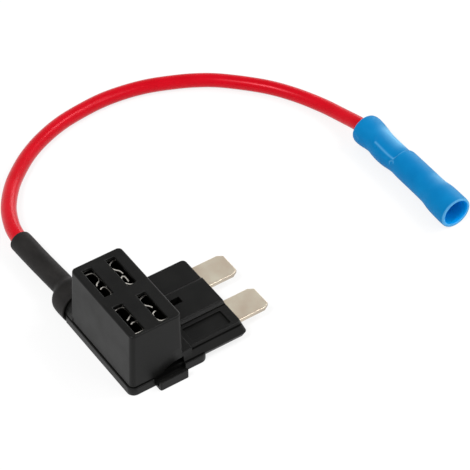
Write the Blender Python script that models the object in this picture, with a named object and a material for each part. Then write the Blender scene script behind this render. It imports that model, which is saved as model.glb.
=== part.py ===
# Piggyback fuse tap: a plug with two flat blades, a head with two rows of fuse sockets,
# a clip-in cover below, and a short tap wire that ends in a crimped splice.
# Metres, +Z up. +X is the way the blades point, +Y is the way the wire leaves, and the
# sizes are written with X = 0 near the back of the head and Y = 0 between the blades.

import math

import bmesh
import bpy
from mathutils import Vector

MM = 0.001

# Fits
SEAT_GAP = 0.3 * MM
CUT_MARGIN = 1.0 * MM

# Interface of a standard blade fuse
BLADE_PITCH = 9.3 * MM
BLADE_WIDTH = 5.2 * MM
BLADE_THICKNESS = 0.8 * MM
BLADE_TIP_CUT_LENGTH = 1.0 * MM
BLADE_TIP_CUT_WIDTH = 0.6 * MM
FUSE_ROW_PITCH = 5.1 * MM

# Base cover
COVER_OVERHANG = 0.15 * MM
COVER_LENGTH = 14.85 * MM
COVER_WIDTH = 19.5 * MM
COVER_THICKNESS = 1.7 * MM
COVER_CORNER = 1.3 * MM
COVER_RECESS = 0.2 * MM
COVER_RIM = 1.3 * MM

# Latch tabs of the cover, one on each side
LATCH_START = 4.8 * MM
LATCH_LENGTH = 5.3 * MM
LATCH_REACH = 1.45 * MM
LATCH_STRIP = 0.7 * MM
LATCH_HEIGHT = 1.85 * MM
LATCH_FLOOR = 0.6 * MM
LATCH_SLIT = 0.4 * MM
LATCH_UNDERCUT = 0.75 * MM
FAR_LATCH_TRIM = 1.4 * MM
SCOOP_HEIGHT = 3.47 * MM
SCOOP_DEPTH = 0.92 * MM
SCOOP_OUTSIDE = 0.55 * MM
SCOOP_LENGTH = 4.3 * MM
SCOOP_MIDDLE = 8.9 * MM
SCOOP_LOW = 0.37 * MM
SCOOP_STEPS = 8
SCOOP_SIDES = 28

# Head block, measured at its open bottom edge
HEAD_INSET = 0.1 * MM
HEAD_DEPTH = 10.25 * MM
HEAD_WIDTH = 19.1 * MM
HEAD_TOP = 13.1 * MM
HEAD_CORNER = 0.85 * MM
HEAD_DRAFT_BACK = 0.6 * MM
HEAD_DRAFT_FRONT = 0.05 * MM
HEAD_DRAFT_NEAR = 0.4 * MM
HEAD_DRAFT_FAR = 0.1 * MM
HEAD_EDGE = 0.3 * MM
HEAD_ROOF = 0.6 * MM

# Sockets in the head
SLOT_WIDTH = 1.65 * MM
SLOT_LENGTH = 7.0 * MM
SLOT_CHAMFER = 0.2 * MM
SLOT_SHIFT = 0.25 * MM
FRONT_SLOT_SHIFT = 0.6 * MM
BACK_ROW_X = 2.85 * MM
POCKET_END_ROOM = 0.6 * MM

# Plug body
PLUG_END = 22.85 * MM
PLUG_WIDTH = 19.0 * MM
PLUG_TOP = 4.0 * MM
PLUG_WIDEST_Z = 1.8 * MM
PLUG_BOTTOM = 1.0 * MM
PLUG_CORNER = 0.8 * MM
PLUG_DRAFT_SIDE = 0.7 * MM
PLUG_DRAFT_END = 0.5 * MM
PLUG_UNDER_DRAFT = 0.3 * MM
PLUG_EDGE = 0.2 * MM
PLUG_OVERLAP = 1.5 * MM

# Raised centre of the plug, with its window
RIDGE_WIDTH = 6.1 * MM
RIDGE_SHIFT = 0.25 * MM
RIDGE_SLOPE = 0.55 * MM
RIDGE_HEIGHT = 0.5 * MM
RIDGE_SETBACK = 0.1 * MM
WINDOW_START = 12.1 * MM
WINDOW_LENGTH = 4.2 * MM
WINDOW_LEFT = 1.4 * MM
WINDOW_WIDTH = 1.35 * MM
WINDOW_DEPTH = 1.5 * MM

# Shallow pocket and notch on the -Y side of the plug
PANEL_START = 13.0 * MM
PANEL_LENGTH = 7.5 * MM
PANEL_INNER = 4.7 * MM
PANEL_WIDTH = 3.2 * MM
PANEL_DEPTH = 0.35 * MM
NOTCH_LENGTH = 1.85 * MM
NOTCH_INNER = 6.0 * MM
NOTCH_THROUGH = 8.3 * MM
NOTCH_STEP_Z = 2.9 * MM

# Stamped terminals
STRIP = 0.3 * MM
BLADE_Z = 2.25 * MM
BLADE_TIP = 28.8 * MM
BLADE_ROOT = 13.5 * MM
BUS_WIDTH = 4.4 * MM
BACK_TO_BLADE = 0.75 * MM
SOCKET_HALF = 3.05 * MM
SOCKET_CORNER = 0.6 * MM
ARM_REACH = 1.1 * MM
ARM_BOTTOM = 5.0 * MM
ARC_STEPS = 5

# Wire, its crimp and its neck
WIRE_RADIUS = 1.35 * MM
STRAND_RADIUS = 0.5 * MM
WIRE_WAY_X = 2.75 * MM
WIRE_WAY_Z = 2.65 * MM
WIRE_WAY_START = 7.6 * MM
NECK_X = 2.68 * MM
NECK_Z = 1.9 * MM
NECK_RADIUS = 2.7 * MM
NECK_FLOOR = 0.65 * MM
NECK_END = 13.6 * MM
TONGUE_WIDTH = 5.6 * MM
CRIMP_WALL = 0.3 * MM
CRIMP_Z = 3.0 * MM
CRIMP_START = 4.2 * MM
CRIMP_LENGTH = 2.6 * MM
STRAND_START = 4.0 * MM
STRAND_END = 8.2 * MM
CORD_SPACING = 2.0

# Shrink sleeve over the neck and the wire
SLEEVE_WALL = 0.3 * MM
SLEEVE_START = 10.75 * MM
SLEEVE_FLOOR = 0.02 * MM
SLEEVE_TAIL = 29.3 * MM
SLEEVE_TAIL_EDGE = 0.3 * MM

# Crimped splice at the far end of the wire
SPLICE_X = 67.6 * MM
SPLICE_Z = 3.1 * MM
SPLICE_START = 18.73 * MM
SPLICE_LENGTH = 26.45 * MM
SPLICE_MOUTH_RADIUS = 2.5 * MM
SPLICE_MOUTH_DEPTH = 5.6 * MM
SPLICE_BODY_RADIUS = 2.0 * MM
SPLICE_PRESS = 0.2 * MM
SPLICE_LEAN = 209.0
BARREL_START = 5.6 * MM
BARREL_LENGTH = 15.0 * MM
BARREL_RADIUS = 1.7 * MM
BARREL_BORE = 1.15 * MM
BARREL_STOP = 0.4 * MM

SIDES = 24

# Middle line of one rolled arm of a socket, as shares of its reach and of the socket's half width,
# from beside the back plate to the free end that presses on the fuse
ARM_SHAPE = (
    (0.1, 1.0), (-0.45, 1.0), (-0.8, 0.96), (-0.97, 0.84), (-1.0, 0.68), (-0.98, 0.5), (-0.86, 0.38),
    (-0.6, 0.28), (-0.3, 0.19), (0.02, 0.12),
)

# The shrink sleeve along Y: where it is, its middle in X and Z, and its outer radius
SLEEVE_SHAPE = (
    (10.75, 2.68, 1.9, 3.3), (12.2, 2.68, 1.9, 3.36), (13.4, 2.68, 1.92, 3.38), (14.1, 2.69, 1.98, 3.28),
    (14.6, 2.7, 2.1, 3.0), (15.0, 2.71, 2.3, 2.6), (15.35, 2.73, 2.48, 2.25), (15.8, 2.74, 2.6, 2.0),
    (16.4, 2.72, 2.64, 2.0), (20.0, 2.51, 2.6, 2.0), (24.0, 2.35, 2.55, 2.0), (29.0, 2.23, 2.47, 2.0),
    (29.3, 2.23, 2.46, 1.85),
)

# The splice from its wire end to its open mouth: how far along, outer radius, and how far its
# outside leans off its middle where the crimping tool has pressed it
SPLICE_SHAPE = (
    (0.0, 2.55, 0.2), (0.35, 2.85, 0.2), (1.0, 2.95, 0.18), (2.0, 2.9, 0.14), (3.2, 2.74, 0.1),
    (4.2, 2.63, 0.13), (5.4, 2.63, 0.26), (6.6, 2.65, 0.32), (8.2, 2.62, 0.3), (9.6, 2.52, 0.2),
    (10.6, 2.48, 0.12), (11.3, 2.6, 0.0), (12.4, 2.65, 0.0), (16.0, 2.65, 0.0), (19.6, 2.67, 0.02),
    (20.6, 2.75, 0.06), (21.6, 2.91, 0.07), (22.6, 3.01, 0.07), (24.5, 3.05, 0.09), (26.0, 3.05, 0.1),
    (26.45, 2.95, 0.1),
)

# Route of the wire, from the crimp through the neck and the sleeve and round to the splice
WIRE_ROUTE = (
    (2.7, 8.5, 2.65), (2.75, 11.0, 2.65), (2.76, 14.5, 2.65), (2.54, 20.0, 2.6), (2.38, 24.0, 2.55),
    (2.24, 28.0, 2.5), (2.43, 30.6, 2.4), (3.1, 33.6, 2.2), (4.99, 37.9, 1.85), (8.2, 42.3, 1.5),
    (11.6, 45.5, 1.37), (15.2, 48.1, 1.37), (19.3, 50.2, 1.37), (24.0, 51.8, 1.37), (28.8, 52.6, 1.37),
    (33.5, 52.9, 1.37), (38.0, 52.5, 1.37), (42.1, 51.6, 1.37), (46.1, 50.1, 1.37), (50.4, 48.0, 1.37),
    (54.5, 45.1, 1.37), (59.8, 39.7, 1.37), (63.1, 34.8, 1.4), (65.5, 29.3, 1.6), (66.7, 24.1, 2.2),
    (67.3, 20.0, 2.9), (67.6, 17.0, 3.1), (67.6, 13.8, 3.1),
)

# Worked out from the sizes above
FRONT_ROW_X = BACK_ROW_X + FUSE_ROW_PITCH
HEAD_BOTTOM = COVER_THICKNESS + SEAT_GAP
HEAD_FRONT = HEAD_INSET + HEAD_DEPTH
COVER_END = COVER_LENGTH - COVER_OVERHANG
BUS_TOP = BLADE_Z + BLADE_THICKNESS / 2
BUS_BOTTOM = BLADE_Z - BLADE_THICKNESS / 2
SOCKET_TOP = HEAD_TOP - HEAD_ROOF - SEAT_GAP
CRIMP_BORE = STRAND_RADIUS + SEAT_GAP
CRIMP_RADIUS = CRIMP_BORE + CRIMP_WALL
CRIMP_X = BACK_ROW_X - BACK_TO_BLADE - STRIP + CRIMP_RADIUS
WIRE_BORE = WIRE_RADIUS + SEAT_GAP
TONGUE_END = SLEEVE_START - SEAT_GAP
LATCH_EDGE = COVER_WIDTH / 2 + LATCH_REACH
OVER_COVER = COVER_THICKNESS + CUT_MARGIN
CENTRE_X = (BLADE_TIP - COVER_OVERHANG) / 2
CENTRE_Y = (NECK_END - LATCH_EDGE) / 2


def clear_scene():
    for item in list(bpy.data.objects):
        bpy.data.objects.remove(item, do_unlink=True)


def finish(name, colour, roughness, metallic=0.0):
    made = bpy.data.materials.new(name)
    made.use_nodes = True
    shader = made.node_tree.nodes["Principled BSDF"]
    shader.inputs["Base Color"].default_value = (*colour, 1.0)
    shader.inputs["Roughness"].default_value = roughness
    shader.inputs["Metallic"].default_value = metallic
    return made


def mesh_object(name, shape):
    bmesh.ops.recalc_face_normals(shape, faces=shape.faces)
    mesh = bpy.data.meshes.new(name)
    shape.to_mesh(mesh)
    shape.free()
    made = bpy.data.objects.new(name, mesh)
    bpy.context.scene.collection.objects.link(made)
    return made


def loft(name, sections):
    # A closed solid through outlines that all have the same number of points.
    shape = bmesh.new()
    rings = [[shape.verts.new(point) for point in section] for section in sections]
    for lower, upper in zip(rings, rings[1:]):
        for i, corner in enumerate(lower):
            before = i - 1
            shape.faces.new((lower[before], corner, upper[i], upper[before]))
    shape.faces.new(rings[0][::-1])
    shape.faces.new(rings[-1])
    return mesh_object(name, shape)


def raised(outline, height):
    return [(x, y, height) for x, y in outline]


def prism(name, outline, low, high):
    return loft(name, [raised(outline, low), raised(outline, high)])


def rectangle(x_low, x_high, y_low, y_high):
    return [(x_low, y_low), (x_high, y_low), (x_high, y_high), (x_low, y_high)]


def block(name, x_range, y_range, z_range):
    return prism(name, rectangle(*x_range, *y_range), *z_range)


def rounded(x_low, x_high, y_low, y_high, radius, steps=ARC_STEPS):
    # A rectangle with round corners, anticlockwise.
    corners = (
        (x_high - radius, y_high - radius, 0),
        (x_low + radius, y_high - radius, 90),
        (x_low + radius, y_low + radius, 180),
        (x_high - radius, y_low + radius, 270),
    )
    points = []
    for x, y, start in corners:
        for step in range(steps + 1):
            angle = math.radians(start + 90 * step / steps)
            points.append((x + radius * math.cos(angle), y + radius * math.sin(angle)))
    return points


def circle_along_y(x, y, z, radius, sides=SIDES):
    turns = [2 * math.pi * (side + 0.5) / sides for side in range(sides)]
    return [(x + radius * math.cos(turn), y, z + radius * math.sin(turn)) for turn in turns]


def rod_along_y(name, x, z, radius, y_low, y_high):
    return loft(name, [circle_along_y(x, y, z, radius) for y in (y_low, y_high)])


def bake(target):
    graph = bpy.context.evaluated_depsgraph_get()
    mesh = bpy.data.meshes.new_from_object(target.evaluated_get(graph))
    target.modifiers.clear()
    target.data = mesh


def combine(target, operation, tools):
    for tool in tools:
        modifier = target.modifiers.new(tool.name, "BOOLEAN")
        modifier.operation = operation
        modifier.solver = "EXACT"
        modifier.object = tool
        bake(target)
        bpy.data.objects.remove(tool, do_unlink=True)
    return target


def fuse(target, *tools):
    return combine(target, "UNION", tools)


def carve(target, *tools):
    return combine(target, "DIFFERENCE", tools)


def settle(made, material, frame, smooth_angle=None):
    made.data.materials.clear()
    made.data.materials.append(material)
    if smooth_angle is not None:
        made.data.shade_smooth()
        made.data.set_sharp_from_angle(angle=math.radians(smooth_angle))
    made.parent = frame
    return made


def head_outline(height, inset=0.0):
    # The head narrows towards its top, more at the back than at the front.
    rise = (height - HEAD_BOTTOM) / (HEAD_TOP - HEAD_BOTTOM)
    near = HEAD_DRAFT_NEAR * rise + inset - HEAD_WIDTH / 2
    far = HEAD_WIDTH / 2 - HEAD_DRAFT_FAR * rise - inset
    back = HEAD_INSET + HEAD_DRAFT_BACK * rise + inset
    front = HEAD_FRONT - HEAD_DRAFT_FRONT * rise - inset
    return raised(rounded(back, front, near, far, HEAD_CORNER - inset), height)


def head_block():
    steps = 3
    sections = [head_outline(HEAD_BOTTOM)]
    for step in range(steps + 1):
        angle = math.radians(90 * step / steps)
        height = HEAD_TOP - HEAD_EDGE * (1 - math.sin(angle))
        sections.append(head_outline(height, HEAD_EDGE * (1 - math.cos(angle))))
    return loft("main_housing", sections)


def plug_outline(height, side_inset, end_inset):
    half = PLUG_WIDTH / 2 - side_inset
    start = HEAD_FRONT - HEAD_DRAFT_FRONT - PLUG_OVERLAP
    return raised(rounded(start, PLUG_END - end_inset, -half, half, PLUG_CORNER), height)


def plug_body():
    upper_side = PLUG_DRAFT_SIDE - PLUG_EDGE / 3
    upper_end = PLUG_DRAFT_END - PLUG_EDGE / 3
    top_side = PLUG_DRAFT_SIDE + PLUG_EDGE
    top_end = PLUG_DRAFT_END + PLUG_EDGE
    sections = [
        plug_outline(PLUG_BOTTOM, PLUG_UNDER_DRAFT, PLUG_UNDER_DRAFT),
        plug_outline(PLUG_WIDEST_Z, 0.0, 0.0),
        plug_outline(PLUG_TOP - PLUG_EDGE, upper_side, upper_end),
        plug_outline(PLUG_TOP, top_side, top_end),
    ]
    return loft("plug_body", sections)


def ridge():
    # The raised centre, sunk into the plug so that the two become one solid.
    start = HEAD_FRONT - HEAD_DRAFT_FRONT - PLUG_OVERLAP
    sunk = PLUG_EDGE
    end = PLUG_END - PLUG_DRAFT_END - PLUG_EDGE - RIDGE_SETBACK
    sections = []
    for rise, inset in ((-sunk, 0.0), (0.0, 0.0), (RIDGE_HEIGHT, RIDGE_SLOPE)):
        half = RIDGE_WIDTH / 2 + RIDGE_SLOPE - inset
        low = -RIDGE_SHIFT - half
        high = -RIDGE_SHIFT + half
        sections.append(raised(rectangle(start, end, low, high), PLUG_TOP + rise))
    return loft("ridge", sections)


def half_neck(name, bottom, top, start):
    # The part of the round neck between two heights.
    tube = rod_along_y(name, NECK_X, NECK_Z, NECK_RADIUS, start, NECK_END)
    wide = NECK_RADIUS + CUT_MARGIN
    side = (NECK_X - wide, NECK_X + wide)
    along = (start - CUT_MARGIN, NECK_END + CUT_MARGIN)
    below = block("below", side, along, (bottom - 2 * wide, bottom))
    above = block("above", side, along, (top, top + 2 * wide))
    return carve(tube, below, above)


def wire_way():
    end = NECK_END + CUT_MARGIN
    return rod_along_y("wire_way", WIRE_WAY_X, WIRE_WAY_Z, WIRE_BORE, WIRE_WAY_START, end)


def socket_pocket(row_x, facing, centre_y):
    # Room for one rolled socket. facing is +1 where its back plate is on the +X side.
    back = row_x + facing * (BACK_TO_BLADE + STRIP + SEAT_GAP)
    arms = row_x - facing * (ARM_REACH + STRIP / 2 + SEAT_GAP)
    half = SOCKET_HALF + STRIP / 2 + POCKET_END_ROOM
    return block(
        "socket_pocket",
        (min(back, arms), max(back, arms)),
        (centre_y - half, centre_y + half),
        (HEAD_BOTTOM - CUT_MARGIN, HEAD_TOP - HEAD_ROOF),
    )


def fuse_slot(row_x, facing, socket_y):
    # The slot through the roof, with a small lead-in round its mouth.
    centre_x = row_x - FRONT_SLOT_SHIFT if facing > 0 else row_x
    centre_y = socket_y - SLOT_SHIFT
    low = HEAD_TOP - HEAD_ROOF - CUT_MARGIN
    mouth = HEAD_TOP + SLOT_CHAMFER
    sections = []
    for height, grow in ((low, 0.0), (HEAD_TOP - SLOT_CHAMFER, 0.0), (mouth, 2 * SLOT_CHAMFER)):
        wide = SLOT_WIDTH / 2 + grow
        long = SLOT_LENGTH / 2 + grow
        edges = rectangle(centre_x - wide, centre_x + wide, centre_y - long, centre_y + long)
        sections.append(raised(edges, height))
    return loft("fuse_slot", sections)


def blade_channel(start, centre_y):
    # Passage for a bus strip and its blade, open to the cover and through the plug's end.
    half = BLADE_WIDTH / 2 + SEAT_GAP
    return block(
        "blade_channel",
        (start, PLUG_END + CUT_MARGIN),
        (centre_y - half, centre_y + half),
        (BUS_BOTTOM - SEAT_GAP, BUS_TOP + SEAT_GAP),
    )


def latch_span(side):
    # Along X, where the latch tab of this side starts and ends. The far one leaves room for the neck.
    start = LATCH_START + (FAR_LATCH_TRIM if side > 0 else 0.0)
    return start, LATCH_START + LATCH_LENGTH


def finger_scoop(side):
    # A smooth hollow in the head's side above the latch tab: part of a ball drawn out along X.
    # The far one starts later, to leave room for the neck.
    trim = FAR_LATCH_TRIM / 2 if side > 0 else 0.0
    long, middle_x = SCOOP_LENGTH - trim, SCOOP_MIDDLE + trim
    across = SCOOP_DEPTH + SCOOP_OUTSIDE
    last = math.acos((HEAD_FRONT + HEAD_DRAFT_FRONT - middle_x) / long)
    sections = []
    for step in range(SCOOP_STEPS + 1):
        turn = math.pi - (math.pi - last) * (step + 1) / (SCOOP_STEPS + 1)
        ring = circle_along_y(0.0, 0.0, 0.0, math.sin(turn), SCOOP_SIDES)
        sections.append([
            (
                middle_x + long * math.cos(turn),
                side * (HEAD_WIDTH / 2 + SCOOP_OUTSIDE) + across * aside,
                HEAD_BOTTOM - SCOOP_LOW + SCOOP_HEIGHT * rise,
            )
            for aside, _, rise in ring
        ])
    return loft("finger_scoop", sections)


def plug_details():
    # The window in the raised centre, the shallow pocket and the notch beside the head.
    ridge_top = PLUG_TOP + RIDGE_HEIGHT
    outside = -PLUG_WIDTH / 2 - CUT_MARGIN
    notch_start = HEAD_FRONT - HEAD_DRAFT_FRONT
    notch = (notch_start, notch_start + NOTCH_LENGTH)
    above = ridge_top + CUT_MARGIN
    return (
        block(
            "window",
            (WINDOW_START, WINDOW_START + WINDOW_LENGTH),
            (WINDOW_LEFT - WINDOW_WIDTH, WINDOW_LEFT),
            (ridge_top - WINDOW_DEPTH, above),
        ),
        block(
            "panel",
            (PANEL_START, PANEL_START + PANEL_LENGTH),
            (-PANEL_INNER - PANEL_WIDTH, -PANEL_INNER),
            (PLUG_TOP - PANEL_DEPTH, above),
        ),
        block("notch_step", notch, (outside, -NOTCH_INNER), (NOTCH_STEP_Z, above)),
        block("notch_through", notch, (outside, -NOTCH_THROUGH), (PLUG_BOTTOM - CUT_MARGIN, above)),
    )


def main_housing():
    housing = fuse(head_block(), plug_body(), ridge())
    wall = HEAD_WIDTH / 2 - CUT_MARGIN
    fuse(housing, half_neck("upper_neck", HEAD_BOTTOM, NECK_Z + 2 * NECK_RADIUS, wall))
    pockets = (
        (FRONT_ROW_X, 1, BLADE_PITCH / 2),
        (BACK_ROW_X, -1, BLADE_PITCH / 2),
        (FRONT_ROW_X, 1, -BLADE_PITCH / 2),
        (BACK_ROW_X, -1, -BLADE_PITCH / 2),
    )
    carve(housing, *(socket_pocket(*place) for place in pockets))
    carve(housing, *(fuse_slot(*pocket) for pocket in pockets))
    back_strip = BACK_ROW_X - BACK_TO_BLADE - STRIP - SEAT_GAP
    front_pocket = FRONT_ROW_X - ARM_REACH - STRIP
    carve(housing, blade_channel(front_pocket, BLADE_PITCH / 2))
    carve(housing, blade_channel(back_strip, -BLADE_PITCH / 2))
    along = (-COVER_OVERHANG, COVER_END + SEAT_GAP)
    wide = PLUG_WIDTH / 2 + CUT_MARGIN
    seat = block("cover_seat", along, (-wide, wide), (PLUG_BOTTOM - CUT_MARGIN, HEAD_BOTTOM))
    carve(housing, seat, wire_way(), finger_scoop(1), finger_scoop(-1), *plug_details())
    return housing


def cover_plate():
    half = COVER_WIDTH / 2
    outline = rounded(-COVER_OVERHANG, COVER_END, -half, half, COVER_CORNER)
    plate = prism("base_cover", outline, 0.0, COVER_THICKNESS)
    # The plate runs on straight into the mouth of the sleeve, as a tongue under the wire.
    side = (-COVER_OVERHANG, TONGUE_WIDTH - COVER_OVERHANG)
    fuse(plate, block("tongue", side, (half - COVER_RIM, TONGUE_END), (0.0, COVER_THICKNESS)))
    # Inside its rim the plate is a little lower, which is where the terminals lie.
    inner = half - COVER_RIM
    return carve(
        plate,
        block(
            "terminal_floor",
            (COVER_RIM, COVER_END + CUT_MARGIN),
            (-inner, inner),
            (COVER_THICKNESS - COVER_RECESS, OVER_COVER),
        ),
    )


def latch_tab(cover, side):
    # The plate is cut back behind the tab, down to a thin floor that carries an upright strip.
    start, end = latch_span(side)
    edge = COVER_WIDTH / 2
    behind = edge - LATCH_UNDERCUT
    low, high = sorted((side * behind, side * (edge + CUT_MARGIN)))
    trough = block("trough", (start - LATCH_SLIT, end + LATCH_SLIT), (low, high), (LATCH_FLOOR, OVER_COVER))
    carve(cover, trough)
    low, high = sorted((side * (behind - CUT_MARGIN), side * (LATCH_EDGE - LATCH_STRIP / 2)))
    floor = block("latch_floor", (start, end), (low, high), (0.0, LATCH_FLOOR))
    low, high = sorted((side * (LATCH_EDGE - LATCH_STRIP), side * LATCH_EDGE))
    strip = prism("latch_strip", rounded(start, end, low, high, LATCH_STRIP / 3, 2), 0.0, LATCH_HEIGHT)
    return fuse(cover, floor, strip)


def base_cover():
    cover = cover_plate()
    for side in (1, -1):
        latch_tab(cover, side)
    neck = half_neck("lower_neck", NECK_FLOOR, COVER_THICKNESS, TONGUE_END - CUT_MARGIN)
    fuse(cover, neck)
    return carve(cover, wire_way())


def arc(centre, radius, start, turn, steps=ARC_STEPS):
    points = []
    for step in range(steps + 1):
        angle = math.radians(start + turn * step / steps)
        points.append((centre[0] + radius * math.cos(angle), centre[1] + radius * math.sin(angle)))
    return points


def rolled_arm():
    # Middle line of one arm, from the back plate round to its free end, with the back at +X.
    back = BACK_TO_BLADE + STRIP / 2
    corner = arc((back - SOCKET_CORNER, SOCKET_HALF - SOCKET_CORNER), SOCKET_CORNER, 0, 90)
    return corner + [(ARM_REACH * across, SOCKET_HALF * aside) for across, aside in ARM_SHAPE]


def thick_line(path, thickness):
    # The outline of a strip of this thickness along an open path.
    left, right = [], []
    for i, point in enumerate(path):
        before = Vector(path[max(i - 1, 0)])
        after = Vector(path[min(i + 1, len(path) - 1)])
        along = (after - before).normalized()
        aside = Vector((-along.y, along.x)) * thickness / 2
        left.append(tuple(Vector(point) + aside))
        right.append(tuple(Vector(point) - aside))
    return left + right[::-1]


def rolled_socket(name, row_x, facing, centre_y):
    # A flat back with both edges rolled over, so that a fuse blade is held against the back.
    arm = rolled_arm()
    path = arm[::-1] + [(x, -y) for x, y in arm]
    outline = [(row_x + facing * x, centre_y + y) for x, y in thick_line(path, STRIP)]
    return prism(name, outline, ARM_BOTTOM, SOCKET_TOP)


def back_plate(row_x, facing, centre_y, bottom):
    near = row_x + facing * BACK_TO_BLADE
    far = near + facing * STRIP
    half = BUS_WIDTH / 2
    return block(
        "back_plate",
        (min(near, far), max(near, far)),
        (centre_y - half, centre_y + half),
        (bottom, ARM_BOTTOM + CUT_MARGIN),
    )


def blade(name, bus_start, centre_y):
    # Bus strip and plug blade: one flat outline with a cut tip.
    half = BLADE_WIDTH / 2
    narrow = BUS_WIDTH / 2
    tip = BLADE_TIP - BLADE_TIP_CUT_LENGTH
    tip_half = half - BLADE_TIP_CUT_WIDTH
    widening = BLADE_ROOT + CUT_MARGIN
    edge = [(bus_start, narrow), (BLADE_ROOT, narrow), (widening, half), (tip, half), (BLADE_TIP, tip_half)]
    outline = [(x, centre_y - y) for x, y in edge] + [(x, centre_y + y) for x, y in edge[::-1]]
    return prism(name, outline, BUS_BOTTOM, BUS_TOP)


def load_terminal():
    centre_y = BLADE_PITCH / 2
    made = blade("load_terminal", FRONT_ROW_X + BACK_TO_BLADE + STRIP / 2, centre_y)
    plate = back_plate(FRONT_ROW_X, 1, centre_y, BLADE_Z)
    return fuse(made, plate, rolled_socket("socket", FRONT_ROW_X, 1, centre_y))


def line_terminal():
    centre_y = -BLADE_PITCH / 2
    made = blade("line_terminal", BACK_ROW_X - BACK_TO_BLADE - STRIP / 2, centre_y)
    for row_x, facing in ((FRONT_ROW_X, 1), (BACK_ROW_X, -1)):
        plate = back_plate(row_x, facing, centre_y, BLADE_Z)
        fuse(made, plate, rolled_socket("socket", row_x, facing, centre_y))
    return made


def tap_terminal():
    centre_y = BLADE_PITCH / 2
    made = back_plate(BACK_ROW_X, -1, centre_y, CRIMP_Z - CRIMP_RADIUS / 2)
    made.name = "tap_terminal"
    fuse(made, rolled_socket("socket", BACK_ROW_X, -1, centre_y))
    end = CRIMP_START + CRIMP_LENGTH
    crimp = rod_along_y("crimp", CRIMP_X, CRIMP_Z, CRIMP_RADIUS, CRIMP_START, end)
    fuse(made, crimp)
    bore = rod_along_y("bore", CRIMP_X, CRIMP_Z, CRIMP_BORE, CRIMP_START - CUT_MARGIN, end + CUT_MARGIN)
    return carve(made, bore)


def tube_shell(name, outside, inside, sides=SIDES):
    # An open tube along Y. Each place is x, y, z, radius and the floor that its section rests on.
    shape = bmesh.new()
    loops = []
    for x, y, z, radius, floor in outside + inside[::-1]:
        ring = [(a, b, max(c, floor)) for a, b, c in circle_along_y(x, y, z, radius, sides)]
        loops.append([shape.verts.new(point) for point in ring])
    for first, second in zip(loops, loops[1:] + loops[:1]):
        for i in range(sides):
            shape.faces.new((first[i - 1], first[i], second[i], second[i - 1]))
    return mesh_object(name, shape)


def curve_point(before, start, end, after, share):
    # A point on the smooth curve from start to end that also heeds its two neighbours.
    linear = (end - before) * share
    square = (2 * before - 5 * start + 4 * end - after) * share**2
    cube = (3 * start - before - 3 * end + after) * share**3
    return (2 * start + linear + square + cube) / 2


def smooth_route(route, spacing):
    # Points at an even spacing along a smooth curve through the route's own points.
    points = [Vector(point) * MM for point in route]
    points = [2 * points[0] - points[1]] + points + [2 * points[-1] - points[-2]]
    parts = 24
    fine = []
    for around in zip(points, points[1:], points[2:], points[3:]):
        fine += [curve_point(*around, part / parts) for part in range(parts)]
    fine.append(points[-2])
    lengths = [0.0]
    for before, after in zip(fine, fine[1:]):
        lengths.append(lengths[-1] + (after - before).length)
    count = max(2, round(lengths[-1] / spacing))
    chosen = []
    for step in range(count + 1):
        wanted = lengths[-1] * step / count
        index = min(range(len(fine)), key=lambda i: abs(lengths[i] - wanted))
        chosen.append(fine[index])
    return chosen


def cord(name, points, radius):
    curve = bpy.data.curves.new(name, "CURVE")
    curve.dimensions = "3D"
    curve.bevel_depth = radius
    curve.bevel_resolution = 2
    curve.use_fill_caps = True
    spline = curve.splines.new("POLY")
    spline.points.add(len(points) - 1)
    for slot, point in zip(spline.points, points):
        slot.co = (*point, 1.0)
    made = bpy.data.objects.new(name, curve)
    bpy.context.scene.collection.objects.link(made)
    return made


def wire():
    return cord("tap_wire", smooth_route(WIRE_ROUTE, CORD_SPACING * 2 * WIRE_RADIUS), WIRE_RADIUS)


def crimped_strands():
    bend = CRIMP_START + CRIMP_LENGTH + SEAT_GAP
    path = [
        Vector((CRIMP_X, STRAND_START, CRIMP_Z)),
        Vector((CRIMP_X, bend, CRIMP_Z)),
        Vector((WIRE_WAY_X, STRAND_END, WIRE_WAY_Z)),
    ]
    return cord("crimped_strands", path, STRAND_RADIUS)


def shrink_sleeve():
    # It stands off the neck and the wire by the seat gap, and lies flat along its underside.
    outside = []
    inside = []
    length = SLEEVE_SHAPE[-1][0] - SLEEVE_SHAPE[0][0]
    stretch = (SLEEVE_TAIL - SLEEVE_START) / (length * MM)
    for y, x, z, radius in SLEEVE_SHAPE:
        along = SLEEVE_START + (y - SLEEVE_SHAPE[0][0]) * MM * stretch
        middle = (x * MM, along, z * MM)
        outside.append((*middle, radius * MM, SLEEVE_FLOOR))
        inside.append((*middle, radius * MM - SLEEVE_WALL, SLEEVE_FLOOR + SLEEVE_WALL))
    inside[-1] = (*inside[-1][:3], inside[-2][3], SLEEVE_FLOOR)
    return tube_shell("shrink_sleeve", outside, inside)


def splice_place(along, lean=0.0):
    turn = math.radians(SPLICE_LEAN)
    return (SPLICE_X + lean * math.cos(turn), SPLICE_START - along, SPLICE_Z + lean * math.sin(turn))


def splice_bore(along):
    mouth = SPLICE_LENGTH - SPLICE_MOUTH_DEPTH
    blend = min(1.0, max(0.0, (along - mouth) / (SPLICE_MOUTH_DEPTH / 3)))
    return SPLICE_BODY_RADIUS + (SPLICE_MOUTH_RADIUS - SPLICE_BODY_RADIUS) * blend


def splice_sleeve():
    # The outline is scaled to the length of the splice. The bore inside it stays round and straight.
    nominal = SPLICE_SHAPE[-1][0]
    outside = []
    inside = []
    for place, radius, lean in SPLICE_SHAPE:
        along = place / nominal * SPLICE_LENGTH
        outside.append((*splice_place(along, lean * MM), radius * MM, 0.0))
        inside.append((*splice_place(along), splice_bore(along), 0.0))
    return tube_shell("splice_sleeve", outside, inside, SIDES + 8)


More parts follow.
